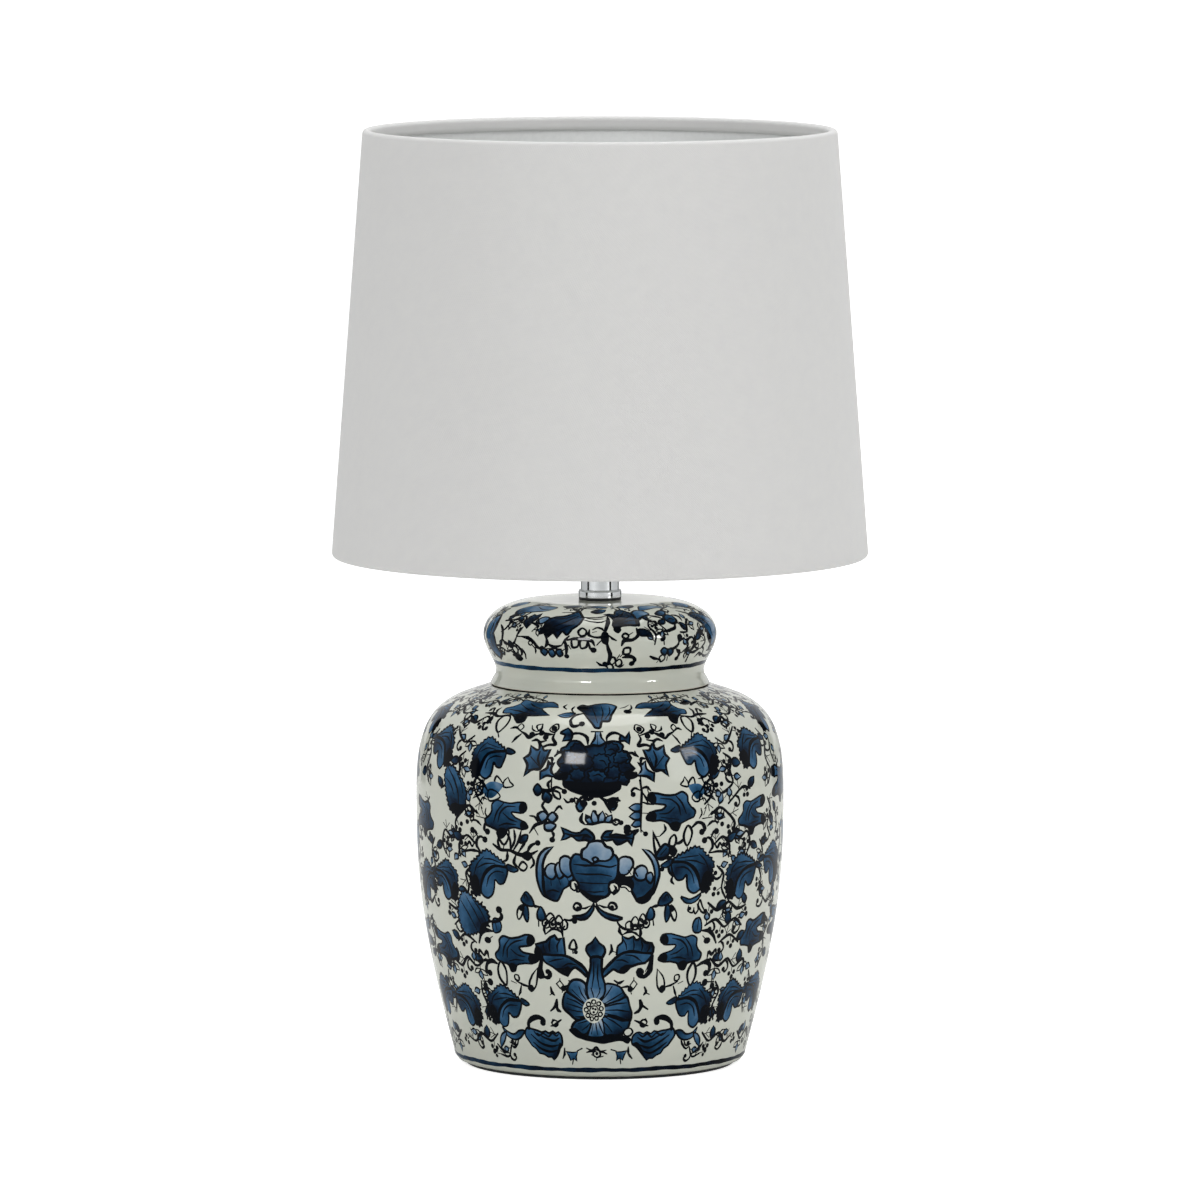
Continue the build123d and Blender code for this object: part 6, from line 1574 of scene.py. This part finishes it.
def makeFelt():
    # wool felt under the foot: near black, matt, hairy; its edge makes the dark line along the bottom of the foot
    mat, tree, shader = newMaterial("nearBlackWoolFelt")
    coords = addNode(tree, "ShaderNodeTexCoord")
    hair = addNode(tree, "ShaderNodeTexNoise", {"Scale": 1000 / 0.9, "Detail": 5.0, "Distortion": 1.5},
                   Vector=coords.outputs["Object"])
    ramp = setRamp(addNode(tree, "ShaderNodeValToRGB", i0=hair.outputs["Fac"]),
                   [(0.3, felt["colour"]), (0.75, felt["hair"])])
    tree.links.new(ramp.outputs[0], shader.inputs["Base Color"])
    addBump(tree, shader, hair.outputs["Fac"], 0.6, 0.0004)
    shader.inputs["Roughness"].default_value = 0.95
    shader.inputs["Sheen Weight"].default_value = 0.2
    r, t, play, bevel = felt["radius"], felt["thickness"], felt["play"], felt["bevel"]
    near, far = felt["rings"]
    inset, low, high = felt["edge"]
    run = [(0.0, play), (near, play), (far, play), (r - bevel, play), (r - inset, low), (r, t / 2),
           (r - inset, t - high), (r - bevel, t - play), (far, t - play), (near, t - play), (0.0, t - play)]
    n, m = len(run), felt["segments"]
    verts = [(0, 0, run[0][1] * mm), (0, 0, run[-1][1] * mm)]
    for rr, z in run[1:-1]:
        for k in range(m):
            fuzz = random.uniform(-felt["fuzz"], 0.0) if rr > r - 1 else 0
            a = turn * k / m
            verts.append(((rr + fuzz) * math.sin(a) * mm, -(rr + fuzz) * math.cos(a) * mm, z * mm))

    def corner(i, k):
        return 2 + (i - 1) * m + k % m

    faces = [(corner(i, k), corner(i, k + 1), corner(i + 1, k + 1), corner(i + 1, k))
             for i in range(1, n - 2) for k in range(m)]
    faces += [(0, corner(1, k + 1), corner(1, k)) for k in range(m)]
    faces += [(1, corner(n - 2, k), corner(n - 2, k + 1)) for k in range(m)]
    obj = addObject("feltPad", verts, faces, [mat])
    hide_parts("foot_felt")


makeFelt()
print("stage: felt")


def plainFinish(name, colours, metallic, roughness, grainMm, depth, ior=None, stretch=(1, 1, 1)):
    # one finish: two near colours, fine grain in the bump and the roughness
    mat, tree, shader = newMaterial(name)
    coords = addNode(tree, "ShaderNodeTexCoord")
    mapping = addNode(tree, "ShaderNodeMapping", Vector=coords.outputs["Object"])
    mapping.inputs["Scale"].default_value = stretch
    grain = addNode(tree, "ShaderNodeTexNoise", {"Scale": 1000 / grainMm, "Detail": 4.0},
                    Vector=mapping.outputs[0])
    ramp = setRamp(addNode(tree, "ShaderNodeValToRGB", i0=grain.outputs["Fac"]),
                   [(0.3, colours[0]), (0.7, colours[1])])
    tree.links.new(ramp.outputs[0], shader.inputs["Base Color"])
    span = {"From Min": 0.3, "From Max": 0.7, "To Min": roughness[0], "To Max": roughness[1]}
    rough = addNode(tree, "ShaderNodeMapRange", span, Value=grain.outputs["Fac"])
    tree.links.new(rough.outputs[0], shader.inputs["Roughness"])
    addBump(tree, shader, grain.outputs["Fac"], 0.3, depth)
    shader.inputs["Metallic"].default_value = metallic
    if ior is not None:
        shader.inputs["IOR"].default_value = ior
    return mat


finishes = {
    # vulcanised rubber: near black, soft dull shine
    "rubber": plainFinish("vulcanisedRubber", ("191a1b", "222324"), 0, (0.5, 0.62), 1.5, 0.0001, 1.5),
    # zinc plate on turned steel: cool grey with a faint yellow cast and fine rings
    "zinc_steel": plainFinish("zincPlatedSteel", ("b3b2ac", "c3c2bc"), 1, (0.28, 0.42), 1.0, 0.00005, None, (1, 1, 12)),
    # polished chrome: a mirror, slightly cool
    "chrome": plainFinish("polishedChrome", ("cfd2d4", "d9dbdc"), 1, (0.05, 0.09), 6.0, 0.00002),
    # moulded urea plastic: warm white, glossy, with a faint flow
    "white_thermoset": plainFinish("mouldedUreaPlastic", ("e2e1da", "e9e8e2"), 0, (0.26, 0.34), 5.0, 0.00008, 1.55),
    # unglazed steatite: cream, matt, fine grained
    "steatite": plainFinish("unglazedSteatite", ("dfdacb", "e8e4d8"), 0, (0.6, 0.75), 0.8, 0.0001, 1.55),
    # bare brass strip: warm yellow, rolled
    "brass": plainFinish("rolledBrass", ("c7a765", "d4b573"), 1, (0.24, 0.36), 1.2, 0.00004, None, (1, 8, 1)),
    # powder coat: white with a fine orange peel
    "white_enamel": plainFinish("whitePowderCoat", ("e4e4e1", "ebebe8"), 0, (0.38, 0.48), 1.4, 0.00012, 1.5),
    # satin styrene film behind the fabric
    "liner_film": plainFinish("satinStyreneFilm", ("dcdddc", "e3e4e3"), 0, (0.5, 0.6), 3.0, 0.00006, 1.59),
    # rolled nickel-plated cap of the bulb
    "cap_metal": plainFinish("nickelPlatedCap", ("c4c3bf", "d0cfcb"), 1, (0.2, 0.3), 1.5, 0.00004, None, (1, 1, 6)),
    "black_glass": plainFinish("blackVitrite", ("0f1012", "17181a"), 0, (0.12, 0.2), 2.0, 0.00005, 1.55),
    "white_plastic": plainFinish("satinPolycarbonate", ("e2e3e0", "eaebe8"), 0, (0.35, 0.45), 1.6, 0.00006, 1.58),
    "board": plainFinish("whiteSolderMask", ("dddfdd", "e6e8e6"), 0, (0.3, 0.4), 1.2, 0.00004, 1.5),
    "opal_glass": plainFinish("opalGlass", ("eceeec", "f1f2f0"), 0, (0.14, 0.2), 8.0, 0.00005, 1.5),
}
for part in frame["record"]["subparts"]:
    name, slotName = part["node"], part["material_slot"]
    if slotName in finishes:
        obj = nodes[name]
        for k in range(len(obj.material_slots)):
            obj.material_slots[k].material = finishes[slotName]
print("stage: finishes")
